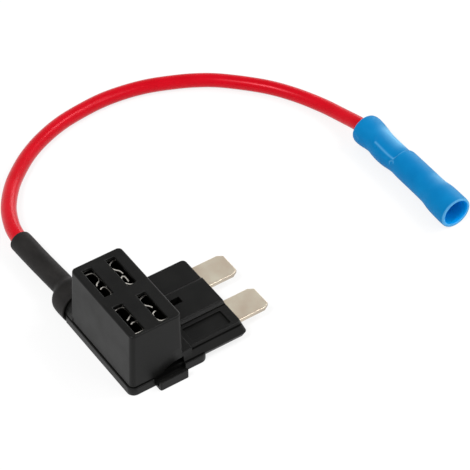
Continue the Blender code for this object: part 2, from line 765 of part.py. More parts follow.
def splice_barrel():
    # Tinned tube with a stop at its middle, crimped on the strands in its first half.
    tight = STRAND_RADIUS + SEAT_GAP
    squeeze = BARREL_RADIUS - SPLICE_PRESS
    middle = BARREL_LENGTH / 2
    shoulder = BARREL_LENGTH / 10
    stop = STRAND_RADIUS
    steps = (
        (0.0, BARREL_RADIUS, BARREL_BORE),
        (shoulder, squeeze, tight),
        (middle - shoulder, squeeze, tight),
        (middle - BARREL_STOP, BARREL_RADIUS, stop),
        (middle + BARREL_STOP, BARREL_RADIUS, stop),
        (middle + shoulder, BARREL_RADIUS, BARREL_BORE),
        (BARREL_LENGTH, BARREL_RADIUS, BARREL_BORE),
    )
    places = [splice_place(BARREL_START + along) for along, _, _ in steps]
    outside = [(*place, outer, 0.0) for place, (_, outer, _) in zip(places, steps)]
    inside = [(*place, inner, 0.0) for place, (_, _, inner) in zip(places, steps)]
    return tube_shell("splice_barrel", outside, inside)


def spliced_strands():
    start = SPLICE_START - WIRE_ROUTE[-1][1] * MM + SEAT_GAP
    end = BARREL_START + BARREL_LENGTH / 2 - BARREL_LENGTH / 10 - SEAT_GAP
    ends = [Vector(splice_place(start)), Vector(splice_place(end))]
    return cord("spliced_strands", ends, STRAND_RADIUS)


def main():
    clear_scene()
    frame = bpy.data.objects.new("fuse_tap", None)
    frame.location = (-CENTRE_X, -CENTRE_Y, 0.0)
    bpy.context.scene.collection.objects.link(frame)

    black = finish("black_nylon", (0.018, 0.018, 0.018), 0.38)
    rubber = finish("black_shrink", (0.03, 0.03, 0.028), 0.55)
    tinned = finish("tinned_brass", (0.62, 0.55, 0.46), 0.3, 1.0)
    copper = finish("copper", (0.75, 0.36, 0.2), 0.35, 1.0)
    red = finish("red_jacket", (0.72, 0.01, 0.025), 0.3)
    blue = finish("blue_nylon", (0.003, 0.2, 0.52), 0.4)

    settle(main_housing(), black, frame, 30)
    settle(base_cover(), black, frame, 30)
    settle(line_terminal(), tinned, frame, 30)
    settle(load_terminal(), tinned, frame, 30)
    settle(tap_terminal(), tinned, frame, 30)
    settle(crimped_strands(), copper, frame)
    settle(wire(), red, frame)
    settle(shrink_sleeve(), rubber, frame, 40)
    settle(spliced_strands(), copper, frame)
    settle(splice_barrel(), tinned, frame, 40)
    settle(splice_sleeve(), blue, frame, 40)


main()
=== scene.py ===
# Piggyback fuse tap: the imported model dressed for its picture.
# Pieces are drawn in millimetres, with X = 0 near the back of the head, Y = 0 between the
# blades and Z = 0 on the floor, and moved to the model's own frame when they are finished.
import bpy
import bmesh
import math
from mathutils import Matrix, Vector, noise


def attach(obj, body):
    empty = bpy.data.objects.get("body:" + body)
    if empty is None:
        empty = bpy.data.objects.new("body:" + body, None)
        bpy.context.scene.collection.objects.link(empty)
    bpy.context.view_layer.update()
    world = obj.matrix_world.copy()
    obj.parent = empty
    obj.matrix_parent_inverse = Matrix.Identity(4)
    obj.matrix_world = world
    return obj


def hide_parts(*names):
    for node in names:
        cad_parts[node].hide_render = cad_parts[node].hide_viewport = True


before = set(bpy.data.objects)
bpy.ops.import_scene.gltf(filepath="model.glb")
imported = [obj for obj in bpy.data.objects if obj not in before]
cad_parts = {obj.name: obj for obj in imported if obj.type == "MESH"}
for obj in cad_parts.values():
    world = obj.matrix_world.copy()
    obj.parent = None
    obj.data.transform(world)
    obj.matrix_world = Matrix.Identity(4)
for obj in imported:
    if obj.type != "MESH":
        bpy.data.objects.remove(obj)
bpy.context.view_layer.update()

scene = bpy.context.scene
millimetre = 0.001
middle = Vector((14.325, 1.2, 0.0))    # the model's origin, in the drawing's millimetres
toFrame = Matrix.Scale(millimetre, 4) @ Matrix.Translation(-middle)

view = {
    "place": (-0.146754, -0.2357005, 0.2972305),
    "forward": (0.39735, 0.58550, -0.70661),    # the way it looks
    "lens": 186.73,
    "frameWidth": 36,
    "nearest": 0.01,
}


def placeCamera():
    cam = bpy.data.objects.new("camera", bpy.data.cameras.new("camera"))
    scene.collection.objects.link(cam)
    cam.data.sensor_width = view["frameWidth"]
    cam.data.lens = view["lens"]
    cam.data.clip_start = view["nearest"]
    cam.location = view["place"]
    cam.rotation_mode = "QUATERNION"
    cam.rotation_quaternion = Vector(view["forward"]).to_track_quat("-Z", "Y")
    scene.camera = cam


placeCamera()
print("camera set")


def newMaterial(name):
    made = bpy.data.materials.new(name)
    made.use_nodes = True
    tree = made.node_tree
    where = tree.nodes.new("ShaderNodeTexCoord")
    return made, tree, tree.nodes["Principled BSDF"], where.outputs["Object"]


def addNode(tree, kind, values, links, **options):
    # One node: its options, the values of its sockets, and what its sockets are linked to.
    made = tree.nodes.new("ShaderNode" + kind)
    for name, option in options.items():
        setattr(made, name, option)
    for name, value in values.items():
        made.inputs[name].default_value = value
    for name, source in links.items():
        tree.links.new(source, made.inputs[name])
    return made


def noiseAt(tree, place, scale, detail, roughness=0.55, stretch=None):
    # Scale is in ripples per metre. Stretch makes the ripples longer along an axis.
    if stretch is not None:
        place = addNode(tree, "Mapping", {"Scale": stretch}, {"Vector": place}).outputs["Vector"]
    values = {"Scale": scale, "Detail": detail, "Roughness": roughness}
    return addNode(tree, "TexNoise", values, {"Vector": place}).outputs["Fac"]


def spread(tree, value, low, high, outLow, outHigh):
    values = {"From Min": low, "From Max": high, "To Min": outLow, "To Max": outHigh}
    return addNode(tree, "MapRange", values, {"Value": value}).outputs["Result"]


def maths(tree, operation, first, second):
    return addNode(tree, "Math", {}, {0: first, 1: second}, operation=operation).outputs[0]


def colourBetween(tree, value, first, second):
    values = {"A": (*first, 1.0), "B": (*second, 1.0)}
    return addNode(tree, "Mix", values, {"Factor": value}, data_type="RGBA").outputs["Result"]


def colourOver(tree, share, under, colour):
    # A colour laid over what is under it, as far as the share says.
    links = {"Factor": share, "A": under}
    return addNode(tree, "Mix", {"B": (*colour, 1.0)}, links, data_type="RGBA").outputs["Result"]


def markedShare(tree, name):
    return addNode(tree, "Attribute", {}, {}, attribute_name=name).outputs["Fac"]


# Painted light: the inside of the splice sleeve is painted a brighter blue; pale holds painted highlights,
# and paler rims and creases.
nylonWearAndLight = {"inside": (0.0006, 0.35, 0.82), "pale": (0.17, 0.47, 0.74)}


def wornAndLitNylon(tree, place, shade):
    # Lays the painted brighter inside, the painted highlights and the paler rims and creases over the
    # nylon's colour.
    for name, colour in nylonWearAndLight.items():
        shade = colourOver(tree, markedShare(tree, name), shade, colour)
    return shade


# Painted shade inside the head and a painted glint on the socket tops, besides the duller metal of the
# sheared blade sides.
brassWearAndLight = {
    "cutEdge": (0.46, 0.4, 0.33), "glintOnRolledEdge": (1.0, 0.96, 0.88), "shadeInHead": (0.03, 0.027, 0.02),
    # heights in metres over which the painted shade inside the head starts, that painted shade ends and the
    # painted glint on the socket tops starts
    "shadeFrom": (0.0035, 0.0045), "shadeTo": (0.0118, 0.0121), "glintFrom": (0.0118, 0.012),
}


def wornAndLitBrass(tree, place, shade):
    # Painted shade: between the two heights, inside the head, the metal is painted nearly black, up to the
    # socket tops under the slots, which get a painted glint. The sheared blade sides are duller metal.
    facts = brassWearAndLight
    height = addNode(tree, "SeparateXYZ", {}, {"Vector": place}).outputs["Z"]
    above = spread(tree, height, *facts["shadeFrom"], 0.0, 1.0)
    below = spread(tree, height, *facts["shadeTo"], 1.0, 0.0)
    rolled = spread(tree, height, *facts["glintFrom"], 0.0, 1.0)
    shade = colourOver(tree, markedShare(tree, "cutEdge"), shade, facts["cutEdge"])
    shade = colourOver(tree, rolled, shade, facts["glintOnRolledEdge"])
    return colourOver(tree, maths(tree, "MULTIPLY", above, below), shade, facts["shadeInHead"])


# For each finish: the noise that clouds it, and the noise's values between which the colour and
# the roughness change; the noise of its grain, with the bump's strength and depth; and sockets
finishFacts = {
    "black_nylon": {
        "name": "blackNylon", "cloud": (260.0, 2.0), "tint": (0.3, 0.7),
        "colours": ((0.0035, 0.0036, 0.0034), (0.0055, 0.0055, 0.0051)),
        "rough": (0.25, 0.75, 0.36, 0.46),
        "grain": (9000.0, 4.0, 0.65), "relief": (0.12, 0.00002),
        "sockets": {"IOR": 1.26},
    },
    "black_shrink": {
        "name": "blackShrink", "cloud": (420.0, 3.0, 0.6, (1.0, 0.5, 1.0)), "tint": (0.3, 0.72),
        "colours": ((0.006, 0.0055, 0.0052), (0.017, 0.0155, 0.0148)),
        "rough": (0.25, 0.75, 0.45, 0.62),
        "grain": (2600.0, 3.0, 0.6, (1.0, 0.12, 1.0)), "relief": (0.2, 0.00003),
        "sockets": {"IOR": 1.24},
    },
    "red_jacket": {
        "name": "redJacket", "cloud": (180.0, 2.0), "tint": (0.3, 0.7),
        "colours": ((0.47, 0.0004, 0.006), (0.54, 0.0008, 0.009)),
        "rough": (0.3, 0.7, 0.25, 0.3),
        "grain": (1500.0, 2.0), "relief": (0.08, 0.00003),
        "sockets": {"IOR": 1.46, "Specular Tint": (1.0, 0.24, 0.3, 1.0)},
    },
    "blue_nylon": {
        "name": "blueNylon", "cloud": (240.0, 3.0), "tint": (0.3, 0.72),
        "colours": ((0.0003, 0.153, 0.39), (0.001, 0.188, 0.445)), "wearAndLight": wornAndLitNylon,
        "rough": (0.25, 0.75, 0.38, 0.5),
        "grain": (900.0, 3.0), "relief": (0.15, 0.00005),
        "sockets": {"IOR": 1.14},
    },
    "tinned_brass": {
        "name": "tinnedBrass", "cloud": (330.0, 4.0, 0.6), "tint": (0.32, 0.68),
        "colours": ((0.86, 0.72, 0.565), (0.89, 0.815, 0.66)), "wearAndLight": wornAndLitBrass,
        "rough": (0.25, 0.75, 0.28, 0.42),
        "grain": (5200.0, 3.0, 0.6, (0.16, 1.0, 1.0)), "relief": (0.1, 0.00002),
        "sockets": {"Metallic": 1.0},
    },
    "copper": {
        "name": "bareCopper", "cloud": (1200.0, 3.0), "tint": (0.3, 0.7),
        "colours": ((0.62, 0.27, 0.14), (0.8, 0.42, 0.25)),
        "sockets": {"Metallic": 1.0, "Roughness": 0.3},
    },
}


def makeFinish(facts):
    made, tree, shader, place = newMaterial(facts["name"])
    cloud = noiseAt(tree, place, *facts["cloud"])
    shade = colourBetween(tree, spread(tree, cloud, *facts["tint"], 0.0, 1.0), *facts["colours"])
    if "wearAndLight" in facts:
        shade = facts["wearAndLight"](tree, place, shade)
    tree.links.new(shade, shader.inputs["Base Color"])
    if "rough" in facts:
        tree.links.new(spread(tree, cloud, *facts["rough"]), shader.inputs["Roughness"])
    if "grain" in facts:
        strength, depth = facts["relief"]
        links = {"Height": noiseAt(tree, place, *facts["grain"])}
        bump = addNode(tree, "Bump", {"Strength": strength, "Distance": depth}, links)
        tree.links.new(bump.outputs["Normal"], shader.inputs["Normal"])
    for name, value in facts["sockets"].items():
        shader.inputs[name].default_value = value
    return made


finishes = {slot: makeFinish(facts) for slot, facts in finishFacts.items()}
print("materials made")


def finishPiece(piece, slot, nodes, sharpAngle=35.0, flat=False):
    # The piece goes to the model's frame, gets its finish and stands for its CAD nodes.
    piece.data.transform(toFrame)
    piece.data.materials.clear()
    piece.data.materials.append(finishes[slot])
    if piece.type == "MESH":
        piece.data.shade_smooth()
        piece.data.set_sharp_from_angle(angle=math.radians(sharpAngle))
        if flat:
            evenShading(piece)
    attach(piece, "root")
    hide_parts(*nodes)
    return piece


def evenShading(piece):
    # Big flat faces keep their own normal, so the roundings beside them don't shade across them.
    change = piece.modifiers.new("even", "WEIGHTED_NORMAL")    # weight runs from 1 to 100
    change.weight = 90
    change.keep_sharp = True
    applyModifiers(piece)


def applyModifiers(piece):
    graph = bpy.context.evaluated_depsgraph_get()
    mesh = bpy.data.meshes.new_from_object(piece.evaluated_get(graph))
    piece.modifiers.clear()
    piece.data = mesh


def meshPiece(name, bm):
    # A closed shape becomes an object, with its normals outward and its bent faces split.
    bmesh.ops.remove_doubles(bm, verts=bm.verts, dist=0.0001)
    bmesh.ops.recalc_face_normals(bm, faces=bm.faces)
    bmesh.ops.connect_verts_nonplanar(bm, angle_limit=0.002, faces=bm.faces)
    mesh = bpy.data.meshes.new(name)
    bm.to_mesh(mesh)
    bm.free()
    made = bpy.data.objects.new(name, mesh)
    scene.collection.objects.link(made)
    return made


def boxMesh(low, high):
    bm = bmesh.new()
    bmesh.ops.create_cube(bm, size=1.0)
    low, high = Vector(low), Vector(high)
    bmesh.ops.scale(bm, verts=bm.verts, vec=high - low)
    bmesh.ops.translate(bm, verts=bm.verts, vec=(low + high) / 2)
    return bm


def roundOff(bm, edges, width, segments):
    bmesh.ops.bevel(bm, geom=edges, offset=width, offset_type="OFFSET", affect="EDGES",
                    segments=segments, profile=0.5, material=-1, clamp_overlap=True)


def uprightEdges(bm, choose=lambda x, y: True):
    found = []
    for edge in bm.edges:
        first, second = (vert.co for vert in edge.verts)
        level = Vector((first.x - second.x, first.y - second.y)).length
        if abs(first.z - second.z) > 4 * level and choose(first.x, first.y):
            found.append(edge)
    return found


def borderAt(bm, height, slack=0.01):
    # The outline of the flat faces at this height.
    def level(item):
        return all(abs(vert.co.z - height) < slack for vert in item.verts)

    flat = {face for face in bm.faces if level(face)}
    return [edge for edge in bm.edges if level(edge) and sum(face in flat for face in edge.link_faces) == 1]


def combine(target, operation, tools):
    for tool in tools:
        step = target.modifiers.new(tool.name, "BOOLEAN")
        step.operation = operation
        step.solver = "EXACT"
        step.object = tool
        applyModifiers(target)
        bpy.data.objects.remove(tool, do_unlink=True)
        tidyMesh(target.data)
    return target


def tidyMesh(mesh):
    # Slivers that a cut leaves behind would spoil the next cut.
    bm = bmesh.new()
    bm.from_mesh(mesh)
    bmesh.ops.remove_doubles(bm, verts=bm.verts, dist=0.002)
    bmesh.ops.dissolve_degenerate(bm, edges=bm.edges, dist=0.0005)
    bm.to_mesh(mesh)
    bm.free()


def ringWalk(bm, rings):
    # A tube through rings of points: one circle that is extruded from each ring to the next.
    made = bmesh.ops.create_circle(bm, cap_ends=False, radius=1.0, segments=len(rings[0]))
    loop = made["verts"]
    for vert, point in zip(loop, rings[0]):
        vert.co = point
    for ring in rings[1:]:
        edges = [bm.edges.get((loop[i - 1], loop[i])) for i in range(len(loop))]
        out = bmesh.ops.extrude_edge_only(bm, edges=edges)["geom"]
        fresh = {item for item in out if isinstance(item, bmesh.types.BMVert)}
        beside = [[edge.other_vert(vert) for edge in vert.link_edges] for vert in loop]
        loop = [next(vert for vert in near if vert in fresh) for near in beside]
        for vert, point in zip(loop, ring):
            vert.co = point
    return loop


def tubePiece(name, rings):
    # Rings that run along the outside and back along the inside, the last one joined to the first.
    bm = bmesh.new()
    ringWalk(bm, rings)
    bmesh.ops.bridge_loops(bm, edges=[edge for edge in bm.edges if edge.is_boundary])
    return meshPiece(name, bm)


def turnsOf(sides):
    return [2 * math.pi * side / sides for side in range(sides)]


def smoothStep(value, low, high):
    share = min(1.0, max(0.0, (value - low) / (high - low)))
    return share * share * (3 - 2 * share)


def valuesAt(rows, where):
    # Reads a table of rows, smoothly between its lines. The first column is the place.
    if where <= rows[0][0]:
        return rows[0][1:]
    for i in range(len(rows) - 1):
        if where <= rows[i + 1][0]:
            break
    else:
        return rows[-1][1:]
    share = (where - rows[i][0]) / (rows[i + 1][0] - rows[i][0])
    start, end = rows[i], rows[i + 1]
    before, after = rows[max(i - 1, 0)], rows[min(i + 2, len(rows) - 1)]
    width = end[0] - start[0]
    values = []
    for column in range(1, len(start)):
        slopeIn = (end[column] - before[column]) / max(end[0] - before[0], 1e-6) * width
        slopeOut = (after[column] - start[column]) / max(after[0] - start[0], 1e-6) * width
        squared, cubed = share**2, share**3
        values.append(
            (2 * cubed - 3 * squared + 1) * start[column]
            + (cubed - 2 * squared + share) * slopeIn
            + (3 * squared - 2 * cubed) * end[column]
            + (cubed - squared) * slopeOut
        )
    return values


wireFacts = {
    "radius": 1.35,
    # route points from the terminal crimp round to the splice, each with its share of the radius
    "route": (
        (2.7, 8.5, 2.65, 1.0), (2.75, 11.0, 2.65, 1.0), (2.76, 14.5, 2.65, 1.0),
        (2.54, 20.0, 2.6, 1.0), (2.38, 24.0, 2.55, 1.0), (2.24, 28.0, 2.5, 1.03),
        (2.43, 30.6, 2.4, 1.05), (3.1, 33.6, 2.2, 1.05), (4.99, 37.9, 1.85, 1.04),
        (8.2, 42.3, 1.5, 1.03), (11.6, 45.5, 1.38, 1.02), (15.2, 48.1, 1.37, 1.0),
        (19.3, 50.2, 1.37, 1.0), (24.0, 51.8, 1.37, 1.0), (28.8, 52.6, 1.37, 1.0),
        (33.5, 52.9, 1.37, 1.0), (38.0, 52.5, 1.37, 0.98), (42.1, 51.6, 1.37, 0.98),
        (46.1, 50.1, 1.37, 0.98), (50.4, 48.0, 1.37, 0.98), (54.5, 45.1, 1.37, 0.97),
        (59.8, 39.7, 1.37, 0.97), (63.1, 34.8, 1.4, 0.97), (65.5, 29.3, 1.6, 0.98),
        (66.7, 24.1, 2.2, 0.98), (67.3, 20.0, 2.9, 1.0), (67.6, 17.0, 3.1, 1.0),
        (67.6, 13.8, 3.1, 1.0),
    ),
    "parts": 8,          # points for each stretch of the route
    "rounding": 12,
}


def wireLine():
    # Points and radii along a smooth curve through the route.
    rows = [Vector(row) for row in wireFacts["route"]]
    rows = [2 * rows[0] - rows[1]] + rows + [2 * rows[-1] - rows[-2]]
    line = []
    for a, b, c, d in zip(rows, rows[1:], rows[2:], rows[3:]):
        for part in range(wireFacts["parts"]):
            t = part / wireFacts["parts"]
            second = 2 * a - 5 * b + 4 * c - d
            third = 3 * b - a - 3 * c + d
            line.append((2 * b + (c - a) * t + second * t**2 + third * t**3) / 2)
    line.append(rows[-2])
    return line


def makeWire():
    line = wireLine()
    curve = bpy.data.curves.new("tapWire", "CURVE")
    curve.dimensions = "3D"
    curve.bevel_depth = wireFacts["radius"] * millimetre
    curve.bevel_resolution = wireFacts["rounding"]
    curve.use_fill_caps = True
    spline = curve.splines.new("POLY")
    spline.points.add(len(line) - 1)
    for slot, point in zip(spline.points, line):
        slot.co = (*(toFrame @ Vector(point[:3])), 1.0)
        slot.radius = point[3]
    spline.use_smooth = True
    made = bpy.data.objects.new("tapWire", curve)
    scene.collection.objects.link(made)
    curve.materials.append(finishes["red_jacket"])
    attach(made, "root")
    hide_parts("tap_wire")
    length = sum((Vector(b[:3]) - Vector(a[:3])).length for a, b in zip(line, line[1:]))
    return made, toFrame @ Vector(line[0][:3]), length * millimetre


wire, wireExit, wireLength = makeWire()
print("wire laid, %.1f mm" % (wireLength / millimetre))


strandFacts = {
    "bundle": 0.48,      # radius of the twisted bundle
    "count": 6,          # strands round the middle one
    "pitch": 9.0,        # length of one turn of the twist
    "full": 0.98,        # how much of its room a strand fills
    "steps": 40,
    "sides": 10,
    "crimp": ((2.9, 4.0, 3.0), (2.9, 7.1, 3.0), (2.75, 8.2, 2.65)),
    "splice": ((67.6, 13.5, 3.1), (67.6, 7.45, 3.1)),
}


def strandBundle(name, path, node):
    # One middle strand with others twisted round it, all in one mesh.
    facts = strandFacts
    path = [Vector(point) for point in path]
    lengths = [0.0]
    for before, after in zip(path, path[1:]):
        lengths.append(lengths[-1] + (after - before).length)
    single = facts["bundle"] / 3
    steps, count = facts["steps"], facts["count"]
    ways = [Vector((math.cos(turn), 0.0, math.sin(turn))) for turn in turnsOf(facts["sides"])]
    bm = bmesh.new()
    for strand in range(count + 1):
        rings = []
        for step in range(steps + 1):
            along = lengths[-1] * step / steps
            part = max(i for i in range(len(path) - 1) if lengths[i] <= along + 1e-9)
            share = (along - lengths[part]) / (lengths[part + 1] - lengths[part])
            centre = path[part].lerp(path[part + 1], share)
            turn = 2 * math.pi * (strand / count + along / facts["pitch"])
            out = 0.0 if strand == count else 2 * single
            centre += Vector((math.cos(turn), 0.0, math.sin(turn))) * out
            rings.append([centre + way * single * facts["full"] for way in ways])
        ringWalk(bm, rings)
        bmesh.ops.holes_fill(bm, edges=[edge for edge in bm.edges if edge.is_boundary], sides=0)
    return finishPiece(meshPiece(name, bm), "copper", [node])


strandBundle("crimpStrands", strandFacts["crimp"], "crimped_strands")
spliceStrands = strandBundle("spliceStrands", strandFacts["splice"], "spliced_strands")
print("strands made")


def stationsOf(facts, start, end):
    # Where the rings stand: evenly, closer together on one stretch, and closest at the two mouths.
    places = {start + away for away in facts["firstMouth"]} | {end - away for away in facts["lastMouth"]}
    for first, length, steps in ((start, end - start, facts["stations"]), facts["finer"]):
        places |= {round(first + length * step / steps, 3) for step in range(steps + 1)}
    return sorted(places)


sleeveFacts = {
    "wall": 0.3,
    "floor": 0.02,
    "bore": 1.65,                # the least inner radius
    "sides": 72,
    "stations": 110,
    "finer": (13.4, 2.8, 40),    # the shoulder: its start, its length and its steps
    "firstMouth": (0.04, 0.1),
    "lastMouth": (0.02, 0.05, 0.1, 0.16),
    "rounded": 0.975,            # size of the cut edge at the neck, beside the ring after it
    # folds of the surface: depth, highest rise, size round and along, and the two sorts of ripple
    "fold": {"depth": 0.035, "highest": 0.005, "round": 0.9, "along": 0.22, "coarse": 1.3, "fine": 4.0,
             "fineShare": 0.4},
    # along Y: place, middle in X, middle in Z, outer radius
    "shape": (
        (10.75, 2.68, 1.9, 3.28), (12.2, 2.68, 1.9, 3.33), (13.4, 2.68, 1.92, 3.34),
        (14.1, 2.69, 1.98, 3.26), (14.6, 2.7, 2.1, 3.0), (15.0, 2.71, 2.3, 2.6),
        (15.35, 2.73, 2.48, 2.25), (15.8, 2.74, 2.6, 2.0), (16.4, 2.72, 2.64, 2.0),
        (20.0, 2.51, 2.6, 2.0), (24.0, 2.35, 2.55, 2.0), (28.6, 2.24, 2.48, 2.0),
        (29.05, 2.23, 2.46, 1.98), (29.22, 2.23, 2.46, 1.92), (29.3, 2.23, 2.46, 1.83),
    ),
}


def sleeveRing(y, inner):
    x, z, radius = valuesAt(sleeveFacts["shape"], y)
    floor = sleeveFacts["floor"]
    if inner:
        radius = max(radius - sleeveFacts["wall"], sleeveFacts["bore"])
        floor += sleeveFacts["wall"]
    ring = []
    fold = sleeveFacts["fold"]
    for turn in turnsOf(sleeveFacts["sides"]):
        ripple = 0.0
        if not inner:
            size = fold["round"]
            spot = Vector((math.cos(turn) * size, y * fold["along"], math.sin(turn) * size))
            coarse, fine = noise.noise(spot * fold["coarse"]), noise.noise(spot * fold["fine"])
            ripple = fold["depth"] * (coarse + fold["fineShare"] * fine)
        out = radius + min(ripple, fold["highest"])
        ring.append(Vector((x + out * math.cos(turn), y, max(z + out * math.sin(turn), floor))))
    return ring


def makeSleeve():
    shape = sleeveFacts["shape"]
    start, end = shape[0][0], shape[-1][0]
    places = stationsOf(sleeveFacts, start, end)
    rings = [sleeveRing(y, False) for y in places]
    x, z, _ = valuesAt(shape, start)
    centre = Vector((x, start, z))
    rings[0] = [centre + (point - centre) * sleeveFacts["rounded"] for point in rings[0]]
    rings += [sleeveRing(y, True) for y in places[::-4]]
    return finishPiece(tubePiece("shrinkSleeve", rings), "black_shrink", ["shrink_sleeve"], 60)


sleeve = makeSleeve()
print("sleeve shrunk on")


spliceFacts = {
    "x": 67.6,
    "z": 3.1,
    "start": 18.73,
    "bore": 2.0,
    "mouth": (20.85, 1.9, 2.5),     # where the mouth opens, over what length, and to what radius
    "lean": 209.0,
    "sides": 120,
    "stations": 110,
    "finer": (5.0, 6.6, 70),        # the waist: its start, its length and its steps
    "firstMouth": (0.03, 0.08, 0.14, 0.2),
    "lastMouth": (0.02, 0.05, 0.09, 0.13, 0.18),
    "innerMouth": (0.03, 0.1),      # how far in the inside's first ring stands, and its second at least
    "wall": 0.22,                   # the least thickness
    "floor": 0.005,
    "waist": 2.62,                  # radius of the waist, by which angles become lengths
    "ripple": {"depth": 0.02, "round": 0.8, "along": 0.16, "shift": 7.0},
    # how far along, outer radius, and how far the outside leans off the middle
    "shape": (
        (0.0, 2.5, 0.2), (0.12, 2.72, 0.2), (0.35, 2.86, 0.2), (1.0, 2.95, 0.18), (2.0, 2.9, 0.14),
        (3.2, 2.74, 0.1), (4.2, 2.63, 0.13), (5.4, 2.63, 0.26), (6.6, 2.65, 0.32),
        (8.2, 2.62, 0.3), (9.6, 2.52, 0.2), (10.6, 2.48, 0.12), (11.3, 2.6, 0.0),
        (12.4, 2.65, 0.0), (16.0, 2.65, 0.0), (19.6, 2.67, 0.02), (20.6, 2.75, 0.06),
        (21.6, 2.9, 0.07), (22.6, 2.99, 0.07), (24.5, 3.03, 0.09), (26.0, 3.03, 0.1),
        (26.32, 2.98, 0.1), (26.45, 2.9, 0.1),
    ),
    # the flat that the crimping tool left: its direction, how far it is from the middle, and where
    "flat": {
        "angle": 106.0, "reach": 2.1, "start": (4.6, 6.4), "end": (10.75, 11.1),
        "facing": 0.3,      # only places that face it this much are pressed
        "crease": 16.0,     # the round and the flat meet in a crease, narrower the higher this is
    },
    # small marks that the crimping tool left: height, width, and points along and round, in degrees
    "marks": (
        (0.11, 0.16, ((5.6, 141.0), (7.5, 142.5), (9.2, 143.5), (10.6, 142.0))),
        (0.09, 0.14, ((10.75, 141.0), (10.95, 122.0), (11.05, 104.0), (11.1, 84.0))),
        (0.09, 0.12, ((10.5, 168.0), (10.35, 160.0), (10.65, 152.0), (11.1, 148.0), (11.3, 153.0))),
        (0.035, 0.14, ((1.3, 170.0), (1.9, 175.0))),
    ),
    # where the nylon is painted paler: painted highlights on the upper flank of the waist and flare, and
    # paler rims and creases; stretches over which each comes and goes, and how pale each thing is
    "wearAndLight": {
        "inner": 0.17, "endRim": (0.25, 0.05), "startRim": (0.05, 0.4), "startShare": 0.7,
        "flankAngle": 50.0, "flankSpread": 34.0,
        "waist": ((2.6, 5.0), (8.6, 10.6)), "flare": ((17.6, 19.4), (20.6, 22.6)),
        "marks": 3.4, "rim": 0.42, "innerRim": 0.45, "waistShare": 0.75, "flareShare": 0.42, "flank": 0.2,
    },
    "barrel": {
        "start": 5.6, "length": 15.0, "radius": 1.7, "bore": 1.15, "sides": 48, "steps": 60,
        # how far along, outer radius and inner radius, squeezed on the strands and stopped in the middle
        "shape": (
            (0.0, 1.58, 1.15), (0.1, 1.7, 1.15), (0.7, 1.7, 1.15), (1.5, 1.5, 0.8),
            (6.0, 1.5, 0.8), (7.0, 1.7, 0.52), (7.9, 1.7, 0.52), (8.6, 1.7, 1.15),
            (14.9, 1.7, 1.15), (15.0, 1.58, 1.15),
        ),
    },
}


def risenBetween(value, rise, fall):
    # 0 before the rise and after the fall, 1 between them.
    return smoothStep(value, *rise) * (1 - smoothStep(value, *fall))


def spliceOutside(s, turn):
    # The distance of the outside from the middle line, in the direction of this turn.
    facts = spliceFacts
    radius, lean = valuesAt(facts["shape"], s)
    leaning = math.radians(facts["lean"])
    towards = lean * math.cos(turn - leaning)
    out = towards + math.sqrt(max(radius**2 - (lean * math.sin(turn - leaning)) ** 2, 0.01))
    flat = facts["flat"]
    pressed = risenBetween(s, flat["start"], flat["end"])
    facing = math.cos(turn - math.radians(flat["angle"]))
    if facing > flat["facing"]:
        limit = flat["reach"] / facing
        sharp = flat["crease"]
        joined = (out**-sharp + limit**-sharp) ** (-1 / sharp)
        out += (joined - out) * pressed
    return out


def ridgeLine(s, degrees, points, width):
    # How near this place is to a crease that runs through (along, angle) points: 1 on it, 0 off it.
    waist = spliceFacts["waist"]
    here = Vector((s, math.radians(degrees) * waist))
    spots = [Vector((along, math.radians(angle) * waist)) for along, angle in points]
    nearest = math.inf
    for a, b in zip(spots, spots[1:]):
        share = min(1.0, max(0.0, (here - a).dot(b - a) / (b - a).length_squared))
        nearest = min(nearest, (here - a.lerp(b, share)).length)
    return math.exp(-((nearest / width) ** 2))


def splicePoint(s, turn, out):
    facts = spliceFacts
    x, z = facts["x"] + out * math.cos(turn), facts["z"] + out * math.sin(turn)
    return Vector((x, facts["start"] - s, z))


def spliceMarks(s, degrees):
    rise = 0.0
    for height, width, points in spliceFacts["marks"]:
        rise += height * ridgeLine(s, degrees, points, width)
    return rise


def makeSpliceSleeve():
    facts = spliceFacts
    end = facts["shape"][-1][0]
    places = stationsOf(facts, 0.0, end)
    turns = turnsOf(facts["sides"])
    wave = facts["ripple"]
    rings = []
    for s in places:
        ring = []
        for turn in turns:
            out = spliceOutside(s, turn)
            x, z = math.cos(turn) * wave["round"], math.sin(turn) * wave["round"] + wave["shift"]
            ripple = noise.noise(Vector((x, s * wave["along"], z)))
            out += wave["depth"] * min(ripple, 0.0) + spliceMarks(s, math.degrees(turn))
            point = splicePoint(s, turn, out)
            point.z = max(point.z, facts["floor"])
            ring.append(point)
        rings.append(ring)
    opens, over, wide = facts["mouth"]
    first, second = facts["innerMouth"]
    for s in [end - first] + [place for place in places[::-3] if place < end - second]:
        bore = facts["bore"] + (wide - facts["bore"]) * smoothStep(s, opens, opens + over)
        outs = [min(bore, spliceOutside(s, turn) - facts["wall"]) for turn in turns]
        rings.append([splicePoint(s, turn, out) for turn, out in zip(turns, outs)])
    piece = tubePiece("spliceSleeve", rings)
    markPaleAndLitNylon(piece.data)
    return finishPiece(piece, "blue_nylon", ["splice_sleeve"], 55)


